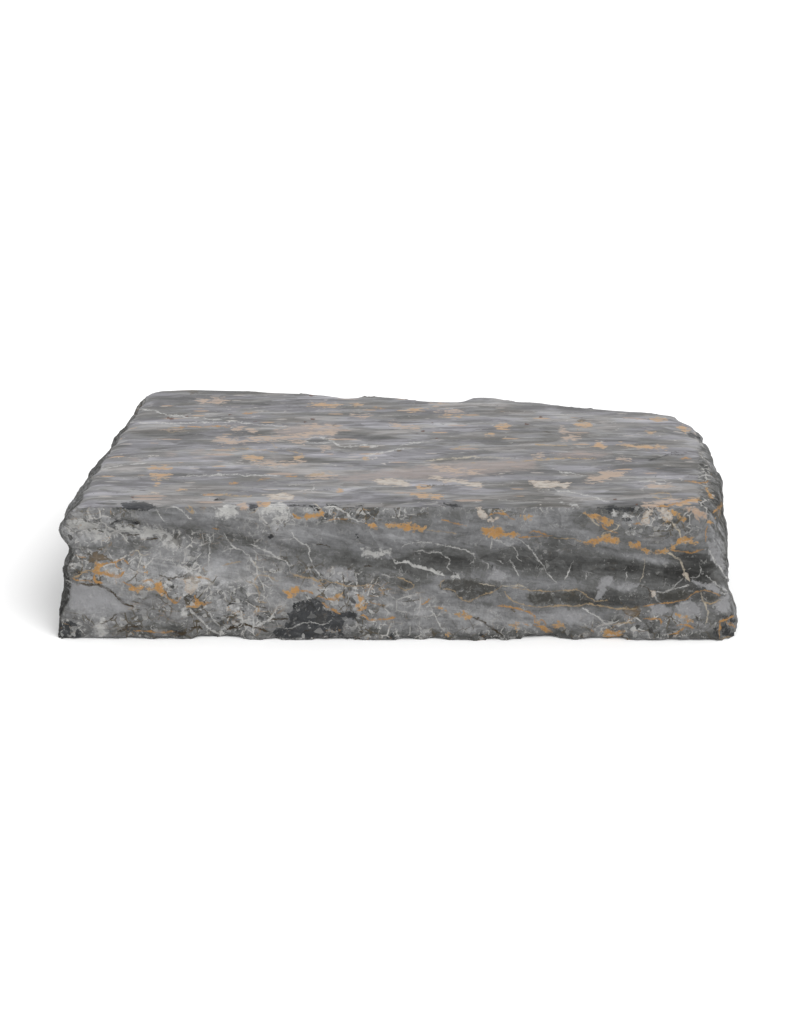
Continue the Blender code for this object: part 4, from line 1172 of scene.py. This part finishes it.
def facing_camera(points, normals):
    """How squarely each point faces the camera, from -1 to 1."""
    to_camera = np.array(CAMERA_AT) - points
    to_camera /= np.linalg.norm(to_camera, axis=1)[:, None]
    return (normals * to_camera).sum(axis=1)


def worked_share(points, normals, pixels):
    """1 on the worked top and 0 on the hewn sides, with a soft change between."""
    on_top = eased(normals[:, 2], *WORKED_FACING) * eased(points[:, 2], *WORKED_HEIGHT)
    return on_top * (1.0 - eased(pixels[:, 0], *RIGHT_RIM))


def end_shares(points, normals, worked):
    """How much each point belongs to the left end, and to the right one."""
    left_end = eased(-normals[:, 0], *LEFT_END_FACING) * (1.0 - worked)
    left_end *= 1.0 - eased(points[:, 0], *LEFT_END_X)
    return left_end, eased(normals[:, 0], *RIGHT_END_FACING)


def left_end_shade_and_dark_stone(points):
    """How much painted shade and darker stone the left end gets, less of both above."""
    return LEFT_END_SHADE_AND_DARK_STONE * (1.0 - (1.0 - LEFT_END_LIGHT_SHARE) * eased(points[:, 2], *LEFT_END_LIGHT))


def store(mesh, name, rows):
    """Keeps a number, or three, for each point, for the material to read."""
    rows = np.asarray(rows, np.float32)
    kind, field = ("FLOAT", "value") if rows.ndim == 1 else ("FLOAT_VECTOR", "vector")
    attribute = mesh.attributes.new(name, kind, "POINT")
    attribute.data.foreach_set(field, np.ascontiguousarray(rows).ravel())


def marked(mesh):
    """Stores every mark on the smooth mesh, and returns what carving needs and the number of line layers."""
    points, normals = rows_of(mesh.vertices, "co"), rows_of(mesh.vertex_normals, "vector")
    pixels = to_photo(points)
    facing = facing_camera(points, normals)
    seen = facing > SEEN_FACING[1]
    worked = worked_share(points, normals, pixels)
    left_end, right_end = end_shares(points, normals, worked)
    ends = np.maximum(left_end, right_end)
    calm = np.where(seen, np.minimum(soft_spots(pixels, CALM), 1.0), HIDDEN_CALM)
    calm = np.maximum(calm, END_CALM * ends)
    layers = line_layers(pixels, seen)
    patches = patch_depths(pixels, seen)
    store(mesh, "end", ends * (1.0 - worked))
    # The left end's tone is lowered by painted shade, as it faces away from the key light, and by its darker
    # stone.
    store(mesh, "tone", tones_with_shading(pixels, seen, worked) - left_end * left_end_shade_and_dark_stone(points))
    store(mesh, "zone", np.stack([worked, 1.0 - eased(facing, *SEEN_FACING), calm], axis=1))
    for index, layer in enumerate(layers):
        store(mesh, f"line_{index}", layer)
    for name, kinds in PATCH_SETS.items():
        store(mesh, name, np.stack([patches[kind] for kind in kinds], axis=1))
    front = eased(-normals[:, 1], *FRONT_FACING)
    grooves = groove_depths(layers, patches["slate"])
    cut = SimpleNamespace(normals=normals, worked=worked, front=front, calm=calm, grooves=grooves)
    return cut, len(layers)


def build_block():
    """The block's own piece, and how many layers of lines it holds."""
    noise.seed_set(CHIP_SEED)
    block = remeshed(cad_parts["marble_block"])
    shape = bmesh.new()
    shape.from_mesh(block.data)
    saw_flat(shape)
    refine(shape)
    bmesh.ops.triangulate(shape, faces=[face for face in shape.faces if len(face.verts) > 4])
    points, faces = in_order(shape)
    shape.free()
    block.data.clear_geometry()
    block.data.from_pydata(points, [], faces)
    smooth(block.data)
    cut, layer_count = marked(block.data)
    carve(block.data, cut)
    block.data.shade_smooth()
    block.data.set_sharp_from_angle(angle=SHARP_ANGLE)
    return block, layer_count


# ---- the stone --------------------------------------------------------------------------------


def seen_colour(red, green, blue):
    """The paint that looks like this colour of the photograph, 0 to 255, under the stage's light."""
    linear = [((value / 255 + 0.055) / 1.055) ** 2.4 for value in (red, green, blue)]
    return (*[value / LIGHT for value in linear], 1.0)


class Paint:
    """A material's nodes, with one short call each."""

    def __init__(self, name):
        self.material = bpy.data.materials.new(name)
        self.material.use_nodes = True
        self.tree = self.material.node_tree
        self.tree.nodes.clear()
        self.at = self.node("TexCoord").outputs["Object"]

    def node(self, kind, **settings):
        made = self.tree.nodes.new("ShaderNode" + kind)
        for name, value in settings.items():
            setattr(made, name, value)
        return made

    def feed(self, socket, value):
        """Links a socket to the value, or sets it, if the value is a number or a colour."""
        if isinstance(value, bpy.types.NodeSocket):
            self.tree.links.new(value, socket)
        else:
            socket.default_value = value

    def feed_all(self, node, **values):
        """Feeds the node's inputs, whose names are given with _ for a space."""
        for name, value in values.items():
            self.feed(node.inputs[name.replace("_", " ")], value)

    def math(self, operation, *values):
        made = self.node("Math", operation=operation)
        for socket, value in zip(made.inputs, values):
            self.feed(socket, value)
        return made.outputs[0]

    def add(self, *values):
        total = values[0]
        for value in values[1:]:
            total = self.math("ADD", total, value)
        return total

    def times(self, *values):
        product = values[0]
        for value in values[1:]:
            product = self.math("MULTIPLY", product, value)
        return product

    def step(self, value, low, high, start=0.0, end=1.0):
        """A smooth change from start to end as value goes from low to high."""
        made = self.node("MapRange", interpolation_type="SMOOTHSTEP")
        self.feed_all(made, Value=value, From_Min=low, From_Max=high, To_Min=start, To_Max=end)
        return made.outputs["Result"]

    def mix(self, share, below, above, blend="MIX"):
        """One colour over another, from none of it at a share of 0 to nothing else at 1."""
        made = self.node("Mix", data_type="RGBA", blend_type=blend)
        factor, first_colour, second_colour = made.inputs[0], made.inputs[6], made.inputs[7]
        self.feed(factor, share)
        self.feed(first_colour, below)
        self.feed(second_colour, above)
        return made.outputs[2]

    def laid(self, colour, shade, *shares):
        """The colour under a shade of the photograph, which covers the product of the shares."""
        return self.mix(self.times(*shares), colour, seen_colour(*shade))

    def stretched(self, scale, turn=(0.0, 0.0, 0.0), shift=(0.0, 0.0, 0.0)):
        """The stone's coordinates, shifted and turned back, then scaled along the turned axes."""
        made = self.node("Mapping", vector_type="TEXTURE")
        turn = [math.radians(angle) for angle in turn]
        scale = [1.0 / factor for factor in scale]
        self.feed_all(made, Vector=self.at, Location=shift, Rotation=turn, Scale=scale)
        return made.outputs[0]

    def noise(self, vector, scale, detail=3.0, roughness=0.55, distortion=0.0):
        """Noise about 0, most of it within a quarter of it."""
        made = self.node("TexNoise")
        self.feed_all(
            made, Vector=vector, Scale=scale, Detail=detail, Roughness=roughness, Distortion=distortion)
        return self.math("SUBTRACT", made.outputs["Fac"], 0.5)

    def pushed(self, vector, place, scale, reach):
        """A vector that noise pushes about, so that what it draws has no straight edge."""
        push = self.node("TexNoise")
        self.feed_all(push, Vector=place, Scale=scale, Detail=3.0)
        moved = self.node("VectorMath", operation="MULTIPLY_ADD")
        for socket, value in zip(moved.inputs, (push.outputs["Color"], (reach, reach, reach), vector)):
            self.feed(socket, value)
        return moved.outputs[0]

    def cells(self, vector, scale, feature="F1"):
        made = self.node("TexVoronoi", feature=feature)
        self.feed_all(made, Vector=vector, Scale=scale)
        return made.outputs

    def parts(self, vector):
        """The three numbers of a vector or a colour."""
        split = self.node("SeparateXYZ")
        self.feed(split.inputs[0], vector)
        return split.outputs[:]

    def cell_chance(self, vector, scale):
        """A random number from 0 to 1 for each cell."""
        return self.parts(self.cells(vector, scale)["Color"])[0]

    def ramp(self, value, stops, interpolation="LINEAR"):
        made = self.node("ValToRGB")
        made.color_ramp.interpolation = interpolation
        self.feed(made.inputs[0], value)
        elements = made.color_ramp.elements
        while len(elements) < len(stops):
            elements.new(1.0)
        for element, (position, colour) in zip(elements, stops):
            element.position = position
            element.color = colour
        return made.outputs[0]

    def stored(self, name):
        """The three numbers that the mesh keeps under this name."""
        return self.parts(self.node("Attribute", attribute_name=name).outputs["Vector"])

    def stored_number(self, name):
        return self.node("Attribute", attribute_name=name).outputs["Fac"]

    def finish(self, colour, roughness, specular, normal=None):
        """Makes the material's surface from these."""
        shader = self.node("BsdfPrincipled")
        self.feed_all(shader, Base_Color=colour, Roughness=roughness, Specular_IOR_Level=specular)
        if normal is not None:
            self.feed(shader.inputs["Normal"], normal)
        output = self.node("OutputMaterial")
        self.feed(output.inputs["Surface"], shader.outputs[0])
        return self.material


def zones(paint):
    """Where the stone is worked, hewn, mottled, calm or hidden, and its coordinates pushed about by noise."""
    smooth_worked, hidden, calm = paint.stored("zone")
    hewn_rag = paint.noise(paint.at, 120.0, detail=3.0, roughness=0.62)
    worked = paint.step(paint.add(smooth_worked, paint.times(hewn_rag, 1.2)), 0.35, 0.65)
    hewn = paint.math("SUBTRACT", 1.0, worked)
    warp = paint.pushed(paint.at, paint.at, scale=11.0, reach=0.03)
    fine_warp = paint.pushed(paint.at, paint.at, scale=45.0, reach=0.014)
    unseen_calm = paint.step(paint.noise(paint.at, 5.0, detail=3.0, roughness=0.6), -0.04, 0.08, 0.0, 0.7)
    calm = paint.add(calm, paint.times(unseen_calm, hidden))
    rough = paint.step(paint.noise(warp, 13.0, detail=3.0, roughness=0.6), -0.20, 0.16, 0.2, 1.0)
    mottled = paint.times(hewn, rough, paint.step(calm, 0.1, 0.9, 1.0, 0.08))
    return SimpleNamespace(
        smooth_worked=smooth_worked, worked=worked, hewn=hewn, hewn_rag=hewn_rag, hidden=hidden, calm=calm,
        mottled=mottled, warp=warp, fine_warp=fine_warp)


def grey_ramp(paint, tone):
    """The marble's own grey: a little blue where it is light, a little green where it is mid and dark."""
    stops = []
    for grey in GREYS:
        cast = DARK_CAST if grey < LIGHT_GREY else LIGHT_CAST
        stops.append((grey / 255, seen_colour(grey + 0.5, grey + 0.5, grey - cast)))
    return paint.ramp(tone, stops)


def top_beds(paint):
    """The clouds, lenses and sparse streaks of the worked top, drawn out from left to right."""
    drawn_out = paint.stretched((1.0, 3.0, 3.0))
    lens_place = paint.stretched((1.0, 5.0, 5.0), turn=(0, 0, 3), shift=(3, 0, 0))
    streak_place = paint.stretched((1.0, 6.5, 6.5), turn=(0, 0, -3), shift=(7, 1, 0))
    scrap_place = paint.pushed(
        paint.stretched((1.0, 5.0, 5.0), turn=(0, 0, 1)), drawn_out, scale=7.0, reach=0.22)
    clouds = paint.noise(drawn_out, 5.0, detail=3.0, roughness=0.5, distortion=0.6)
    lenses = paint.noise(lens_place, 8.0, detail=5.0, roughness=0.6, distortion=0.9)
    streaks = paint.noise(streak_place, 14.0, detail=5.0, roughness=0.64, distortion=0.5)
    scraps = paint.math("SUBTRACT", paint.cell_chance(scrap_place, 7.0), 0.5)
    return paint.add(
        paint.times(clouds, 0.32),
        paint.times(paint.step(lenses, -0.06, 0.08, -0.5, 0.5), 0.13),
        paint.times(scraps, 0.15),
        paint.times(streaks, 0.34, paint.step(clouds, -0.12, 0.10, 0.2, 1.0)),
    )


def hewn_beds(paint, zone):
    """The clouds, beds, grains and clasts of the hewn sides."""
    clouds = paint.noise(zone.warp, 10.0, detail=3.0, roughness=0.5, distortion=0.6)
    bed_place = paint.stretched((1, 1, 4.5), turn=(0, 8, 0))
    beds = paint.noise(bed_place, 13.0, detail=6.0, roughness=0.66, distortion=0.7)
    grains = paint.noise(paint.at, 120.0, detail=4.0, roughness=0.72, distortion=0.4)
    total = paint.add(
        paint.times(clouds, 0.20),
        paint.times(beds, 0.50),
        paint.times(grains, 0.40, paint.step(zone.mottled, 0.0, 1.0, 0.30, 1.0)),
    )
    clasts = (
        (zone.warp, 17.0, 0.13, 0.60),
        (zone.warp, 44.0, 0.17, 0.30),
        (zone.fine_warp, 85.0, 0.12, 0.25),
        (zone.fine_warp, 170.0, 0.10, 0.30),
    )
    for place, scale, contrast, everywhere in clasts:
        clast = paint.math("SUBTRACT", paint.cell_chance(place, scale), 0.5)
        share = paint.step(zone.mottled, 0.0, 1.0, everywhere, 1.0)
        total = paint.add(total, paint.times(clast, contrast, share))
    return total


def end_streaks(paint, hidden):
    """The slanting streaks of both ends, fainter where the photograph hides them."""
    streak_place = paint.stretched((1, 6, 6), turn=(0, 55, 30))
    streaks = paint.noise(streak_place, 22.0, detail=5.0, roughness=0.65, distortion=0.4)
    return paint.times(streaks, paint.stored_number("end"), paint.step(hidden, 0.0, 1.0, 1.0, 0.4))


def hair(paint, vector, scale, width, cover, detail, level):
    """A sparse net of thin lines, where noise passes through a level."""
    value = paint.noise(vector, scale, detail, roughness=0.5, distortion=0.6)
    near = paint.math("ABSOLUTE", paint.math("SUBTRACT", value, level))
    core = width * 0.3
    line = paint.step(near, core, width, 1.0, 0.0)
    patchy = paint.noise(vector, scale * 0.9, detail=2.0)
    return paint.times(line, paint.step(patchy, 0.0, 0.12, 0.0, cover))


def flecks(paint, vector, scale, share, size, ragged):
    """Crisp spots: this share of the noise's cells holds one, up to this size against its cell."""
    cells = paint.cells(vector, scale)
    radius = paint.step(paint.parts(cells["Color"])[0], 1.0 - share, 1.0, 0.0, size)
    reach = paint.add(cells["Distance"], paint.times(ragged, size))
    return paint.step(paint.math("SUBTRACT", radius, reach), 0.03, 0.10)


def casts(paint, colour, zone):
    """A warm cast and a lilac one, in different beds of the top."""
    place = paint.noise(paint.stretched((1, 3, 3), shift=(1, 5, 0)), 7.0, detail=4.0, roughness=0.6)
    warm, lilac = (1.03, 0.985, 0.965, 1.0), (0.985, 0.97, 1.045, 1.0)
    for low, high, cast in ((0.0, 0.12, warm), (0.06, -0.08, lilac)):
        colour = paint.mix(paint.times(paint.step(place, low, high), zone.worked), colour, cast, "MULTIPLY")
    return colour


def top_threads(paint, colour, zone):
    """Thin light and dark lines on the worked top, all along its beds, whole ones and broken ones."""
    broken = paint.step(paint.noise(paint.at, 34.0, detail=3.0, roughness=0.7), -0.02, 0.08)
    light, dark = (196, 194, 191), (92, 91, 92)
    pale, deep = (204, 199, 194), (84, 82, 84)
    # The stretch, turn and shift of its place, then its scale, width, cover, level, shade and breaks.
    threads = (
        ((1, 5, 5), 3, (0, 0, 0), 8.0, 0.010, 0.55, 0.04, light, 1.0),
        ((1, 6, 6), -3, (4, 2, 0), 9.0, 0.012, 0.60, -0.03, dark, 1.0),
        ((1, 2.4, 2.4), 6, (0.02, 3, 1), 12.0, 0.011, 0.80, 0.02, pale, broken),
        ((1, 2.4, 2.4), -7, (-0.04, 3, 1), 19.0, 0.014, 0.80, -0.04, deep, broken),
    )
    for stretch, turn, shift, scale, width, cover, level, shade, breaks in threads:
        place = paint.stretched(stretch, turn=(0, 0, turn), shift=shift)
        line = hair(paint, place, scale, width, cover, detail=4.0, level=level)
        colour = paint.laid(colour, shade, line, breaks, zone.worked)
    return colour


def top_scraps(paint, colour, zone):
    """Tan and pale scraps on the worked top, along its beds."""
    rag = paint.noise(paint.stretched((1, 3, 3)), 60.0, detail=4.0, roughness=0.7)
    scraps = ((9.0, 0.30, (184, 164, 150)), (15.0, 0.26, (200, 170, 140)), (21.0, 0.22, (198, 190, 184)))
    for scale, share, shade in scraps:
        place = paint.stretched((1, 5, 5), shift=(scale, 0, 0))
        scrap = flecks(paint, place, scale, share, size=0.34, ragged=rag)
        colour = paint.laid(colour, shade, scrap, 0.8, zone.worked)
    return colour


def stained(paint, colour, zone):
    """Brown stains where the stone is mottled, and a cool cast where it is calm."""
    stain = paint.step(paint.noise(paint.at, 22.0, detail=4.0, roughness=0.65), 0.08, 0.24, 0.0, 0.45)
    colour = paint.laid(colour, (126, 114, 94), stain, zone.mottled)
    return paint.mix(paint.times(zone.calm, zone.hewn), colour, (0.99, 0.997, 1.018, 1.0), "MULTIPLY")


def clast_edges(paint, colour, zone):
    """Broken lines round the clasts, white in some places and brown in others."""
    choice = paint.step(paint.noise(paint.at, 9.0, detail=2.0), -0.02, 0.02)
    tint = paint.mix(choice, seen_colour(98, 90, 76), seen_colour(202, 200, 196))
    place = paint.times(zone.hewn, paint.step(zone.mottled, 0.0, 0.6))
    for scale, width, cover in ((17.0, 0.026, 1.0), (44.0, 0.048, 0.9)):
        edge = paint.cells(zone.warp, scale, "DISTANCE_TO_EDGE")["Distance"]
        line = paint.step(edge, width * 0.4, width, cover, 0.0)
        broken = paint.step(paint.noise(paint.at, scale * 1.6, detail=3.0, roughness=0.7), -0.02, 0.03)
        colour = paint.mix(paint.times(line, broken, place), colour, tint)
    return colour


def lay_patches(paint, colour, zone):
    """Covers the stone with its patches, each kind in its own colours, with ragged edges and tears."""
    top_rag = paint.noise(paint.stretched((1.0, 2.2, 2.2)), 62.0, detail=3.0, roughness=0.62)
    top_place = paint.stretched((1.0, 4.0, 4.0), shift=(2, 2, 2))
    hewn_place = paint.stretched((1.0, 1.0, 1.6), shift=(3, 2, 1))
    top_tears = paint.noise(top_place, 45.0, detail=5.0, roughness=0.75)
    hewn_tears = paint.noise(hewn_place, 60.0, detail=4.0, roughness=0.72)
    ragged = paint.add(paint.times(zone.hewn_rag, zone.hewn), paint.times(top_rag, zone.worked))
    torn = paint.add(paint.times(hewn_tears, zone.hewn), paint.times(top_tears, zone.worked))
    blotch = paint.times(paint.noise(paint.at, 110.0, detail=4.0, roughness=0.7), 6.0)
    depths = {}
    for name, kinds in PATCH_SETS.items():
        depths.update(zip(kinds, paint.stored(name)))
    for kind, (middle, edge, rag, soft, cover, left) in PATCH_LOOKS.items():
        inside = paint.add(depths[kind], paint.times(ragged, rag * 5.0), 0.2)
        share = paint.step(inside, -soft / 2, soft / 2, 0.0, cover)
        share = paint.times(share, paint.step(torn, -0.11, -0.03, left, 1.0))
        shade = paint.laid(seen_colour(*edge), middle, paint.step(paint.add(inside, blotch), 0.0, 2.6))
        if kind in BLEACHED:
            shade = paint.laid(shade, BLEACH, zone.worked, BLEACH_SHARE)
        colour = paint.mix(share, colour, shade)
    return colour


def bits(paint, colour, zone):
    """Angular white and dark bits where the stone is mottled."""
    kinds = (
        (zone.fine_warp, 95.0, 0.05, (188, 187, 184)),
        (zone.fine_warp, 150.0, 0.07, (204, 203, 200)),
        (zone.fine_warp, 130.0, 0.05, (60, 60, 58)),
        (zone.warp, 60.0, 0.03, (84, 80, 72)),
    )
    for place, scale, share, shade in kinds:
        bit = paint.step(paint.cell_chance(place, scale), 1.0 - share, 1.03 - share, 0.0, 0.85)
        colour = paint.laid(colour, shade, bit, zone.mottled)
    return colour


def hairlines(paint, colour, zone):
    """Brown and tan hairlines where the stone is mottled."""
    lines = ((8, 16.0, 0.012, (72, 62, 44), -0.05), (-12, 20.0, 0.014, (186, 152, 108), 0.03))
    for turn, scale, width, shade, level in lines:
        place = paint.stretched((1, 1, 2.4), turn=(0, turn, 0))
        line = hair(paint, place, scale, width, cover=0.85, detail=3.0, level=level)
        colour = paint.laid(colour, shade, line, zone.mottled)
    return colour


def white_nets(paint, colour, zone):
    """Nets of broken white hairs on the hewn sides, most of them where the stone is mottled."""
    dashes = paint.step(paint.noise(paint.at, 80.0, detail=2.0, roughness=0.6), -0.02, 0.06)
    sparse = paint.times(dashes, paint.step(zone.mottled, 0.0, 1.0, 0.3, 1.0))
    nets = (
        (zone.warp, 26.0, 0.018, 0.0),
        (paint.stretched((1, 1, 1), turn=(20, 50, 10), shift=(2, 3, 4)), 48.0, 0.026, 0.03),
        (paint.stretched((1.4, 1, 0.8), turn=(0, 40, 0), shift=(5, 1, 2)), 70.0, 0.036, -0.02),
    )
    for place, scale, width, level in nets:
        line = hair(paint, place, scale, width, cover=1.0, detail=3.0, level=level)
        colour = paint.laid(colour, LINE_COLOURS[WHITE], line, sparse, zone.hewn)
    return colour


def lay_lines(paint, colour, layer_count):
    """Draws the placed veins and cracks over the stone: noise bends them, and swells and fades them."""
    wiggle = paint.add(
        paint.times(paint.noise(paint.at, 45.0, detail=3.0, roughness=0.6), 6.0),
        paint.times(paint.noise(paint.at, 190.0, detail=3.0, roughness=0.7), 4.0),
    )
    swell = paint.step(paint.noise(paint.at, 95.0, detail=3.0, roughness=0.7), -0.2, 0.2, 0.15, 1.0)
    strength = paint.step(paint.noise(paint.at, 48.0, detail=3.0, roughness=0.7), -0.18, 0.10, 0.40, 1.0)
    count = len(LINE_COLOURS)
    stops = [(kind / count + 0.01, seen_colour(*shade)) for kind, shade in LINE_COLOURS.items()]
    for index in range(layer_count):
        offset, width, kind = paint.stored(f"line_{index}")
        near = paint.math("ABSOLUTE", paint.add(offset, wiggle))
        room = paint.math("SUBTRACT", paint.times(width, swell), near)
        share = paint.times(paint.step(room, -0.6, 0.45), strength)
        tint = paint.ramp(paint.math("DIVIDE", paint.add(kind, 0.5), count), stops, "CONSTANT")
        colour = paint.mix(share, colour, tint)
    return colour


def hidden_veins(paint, colour, zone):
    """Ochre patches, and ochre, white and tan veins, from noise, where the photograph shows nothing."""
    fainter_on_ends = paint.step(paint.stored_number("end"), 0.0, 1.0, 1.0, 0.5)
    drawn = paint.times(zone.hidden, fainter_on_ends)
    veins = (
        (7.0, 0.009, 0.8, (180, 146, 104), 0.06),
        (12.0, 0.010, 0.8, (190, 188, 184), -0.04),
        (22.0, 0.010, 0.6, (176, 158, 130), 0.0),
    )
    for scale, width, cover, shade, level in veins:
        line = hair(paint, zone.warp, scale, width, cover, detail=2.0, level=level)
        colour = paint.laid(colour, shade, line, drawn)
    patches = paint.noise(zone.warp, 15.0, detail=5.0, roughness=0.65, distortion=0.4)
    return paint.laid(colour, (184, 144, 96), paint.step(patches, 0.17, 0.20, 0.0, 0.9), drawn)


def bump(paint, zone):
    """A grain with small broken faces on the hewn sides, very faint on the worked top."""
    grain = paint.times(paint.noise(paint.at, 150.0, detail=6.0, roughness=0.75), 2.4)
    face_place = paint.stretched((1, 1, 1.5), turn=(0, 10, 0))
    faces = paint.times(paint.cells(face_place, 46.0)["Distance"], 1.2)
    share = paint.step(zone.smooth_worked, 0.3, 0.8, 1.0, 0.08)
    made = paint.node("Bump")
    height = paint.times(paint.math("SUBTRACT", grain, faces), share)
    paint.feed_all(made, Distance=0.002, Height=height)
    return made.outputs[0]


def stone(layer_count):
    """The marble: grey beds and clouds, patches, veins, hairlines and flecks, with its roughness and bump."""
    paint = Paint("grey_marble_veined")
    zone = zones(paint)
    tone = paint.add(
        paint.stored_number("tone"),
        paint.times(top_beds(paint), zone.worked),
        paint.times(hewn_beds(paint, zone), zone.hewn),
        end_streaks(paint, zone.hidden),
    )
    colour = grey_ramp(paint, tone)
    for draw in (casts, top_threads, top_scraps, stained, clast_edges):
        colour = draw(paint, colour, zone)
    for draw in (lay_patches, bits, hairlines, white_nets):
        colour = draw(paint, colour, zone)
    colour = lay_lines(paint, colour, layer_count)
    colour = hidden_veins(paint, colour, zone)
    grain = paint.noise(paint.at, 60.0, detail=4.0)
    roughness = paint.add(paint.times(zone.hewn, 0.26), paint.times(grain, 0.25), 0.52)
    return paint.finish(colour, roughness, specular=0.3, normal=bump(paint, zone))


# ---- the stage --------------------------------------------------------------------------------


def add_floor():
    half = FLOOR_SIZE / 2
    corners = [(-half, -half, 0), (half, -half, 0), (half, half, 0), (-half, half, 0)]
    mesh = bpy.data.meshes.new("floor")
    mesh.from_pydata(corners, [], [(0, 1, 2, 3)])
    mesh.materials.append(Paint("pale_floor").finish(FLOOR_COLOUR, roughness=0.9, specular=0.1))
    floor = bpy.data.objects.new("floor", mesh)
    bpy.context.scene.collection.objects.link(floor)


def add_sun():
    """The key light: broad, soft and even over the whole floor."""
    data = bpy.data.lights.new("key", "SUN")
    data.energy = SUN_STRENGTH
    data.angle = math.radians(SUN_SPREAD)
    lamp = bpy.data.objects.new("key", data)
    lamp.rotation_euler = (-Vector(SUN_FROM)).to_track_quat("-Z", "Y").to_euler()
    bpy.context.scene.collection.objects.link(lamp)


def light_stage():
    world = bpy.data.worlds.new("studio")
    world.use_nodes = True
    background = world.node_tree.nodes["Background"]
    background.inputs["Color"].default_value = WORLD_COLOUR
    background.inputs["Strength"].default_value = WORLD_STRENGTH
    bpy.context.scene.world = world
    add_sun()
    bpy.context.scene.view_settings.view_transform = "Standard"


def main():
    add_camera()
    block, layer_count = build_block()
    block.data.materials.append(stone(layer_count))
    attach(block, "root")
    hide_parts("marble_block")
    add_floor()
    light_stage()


main()
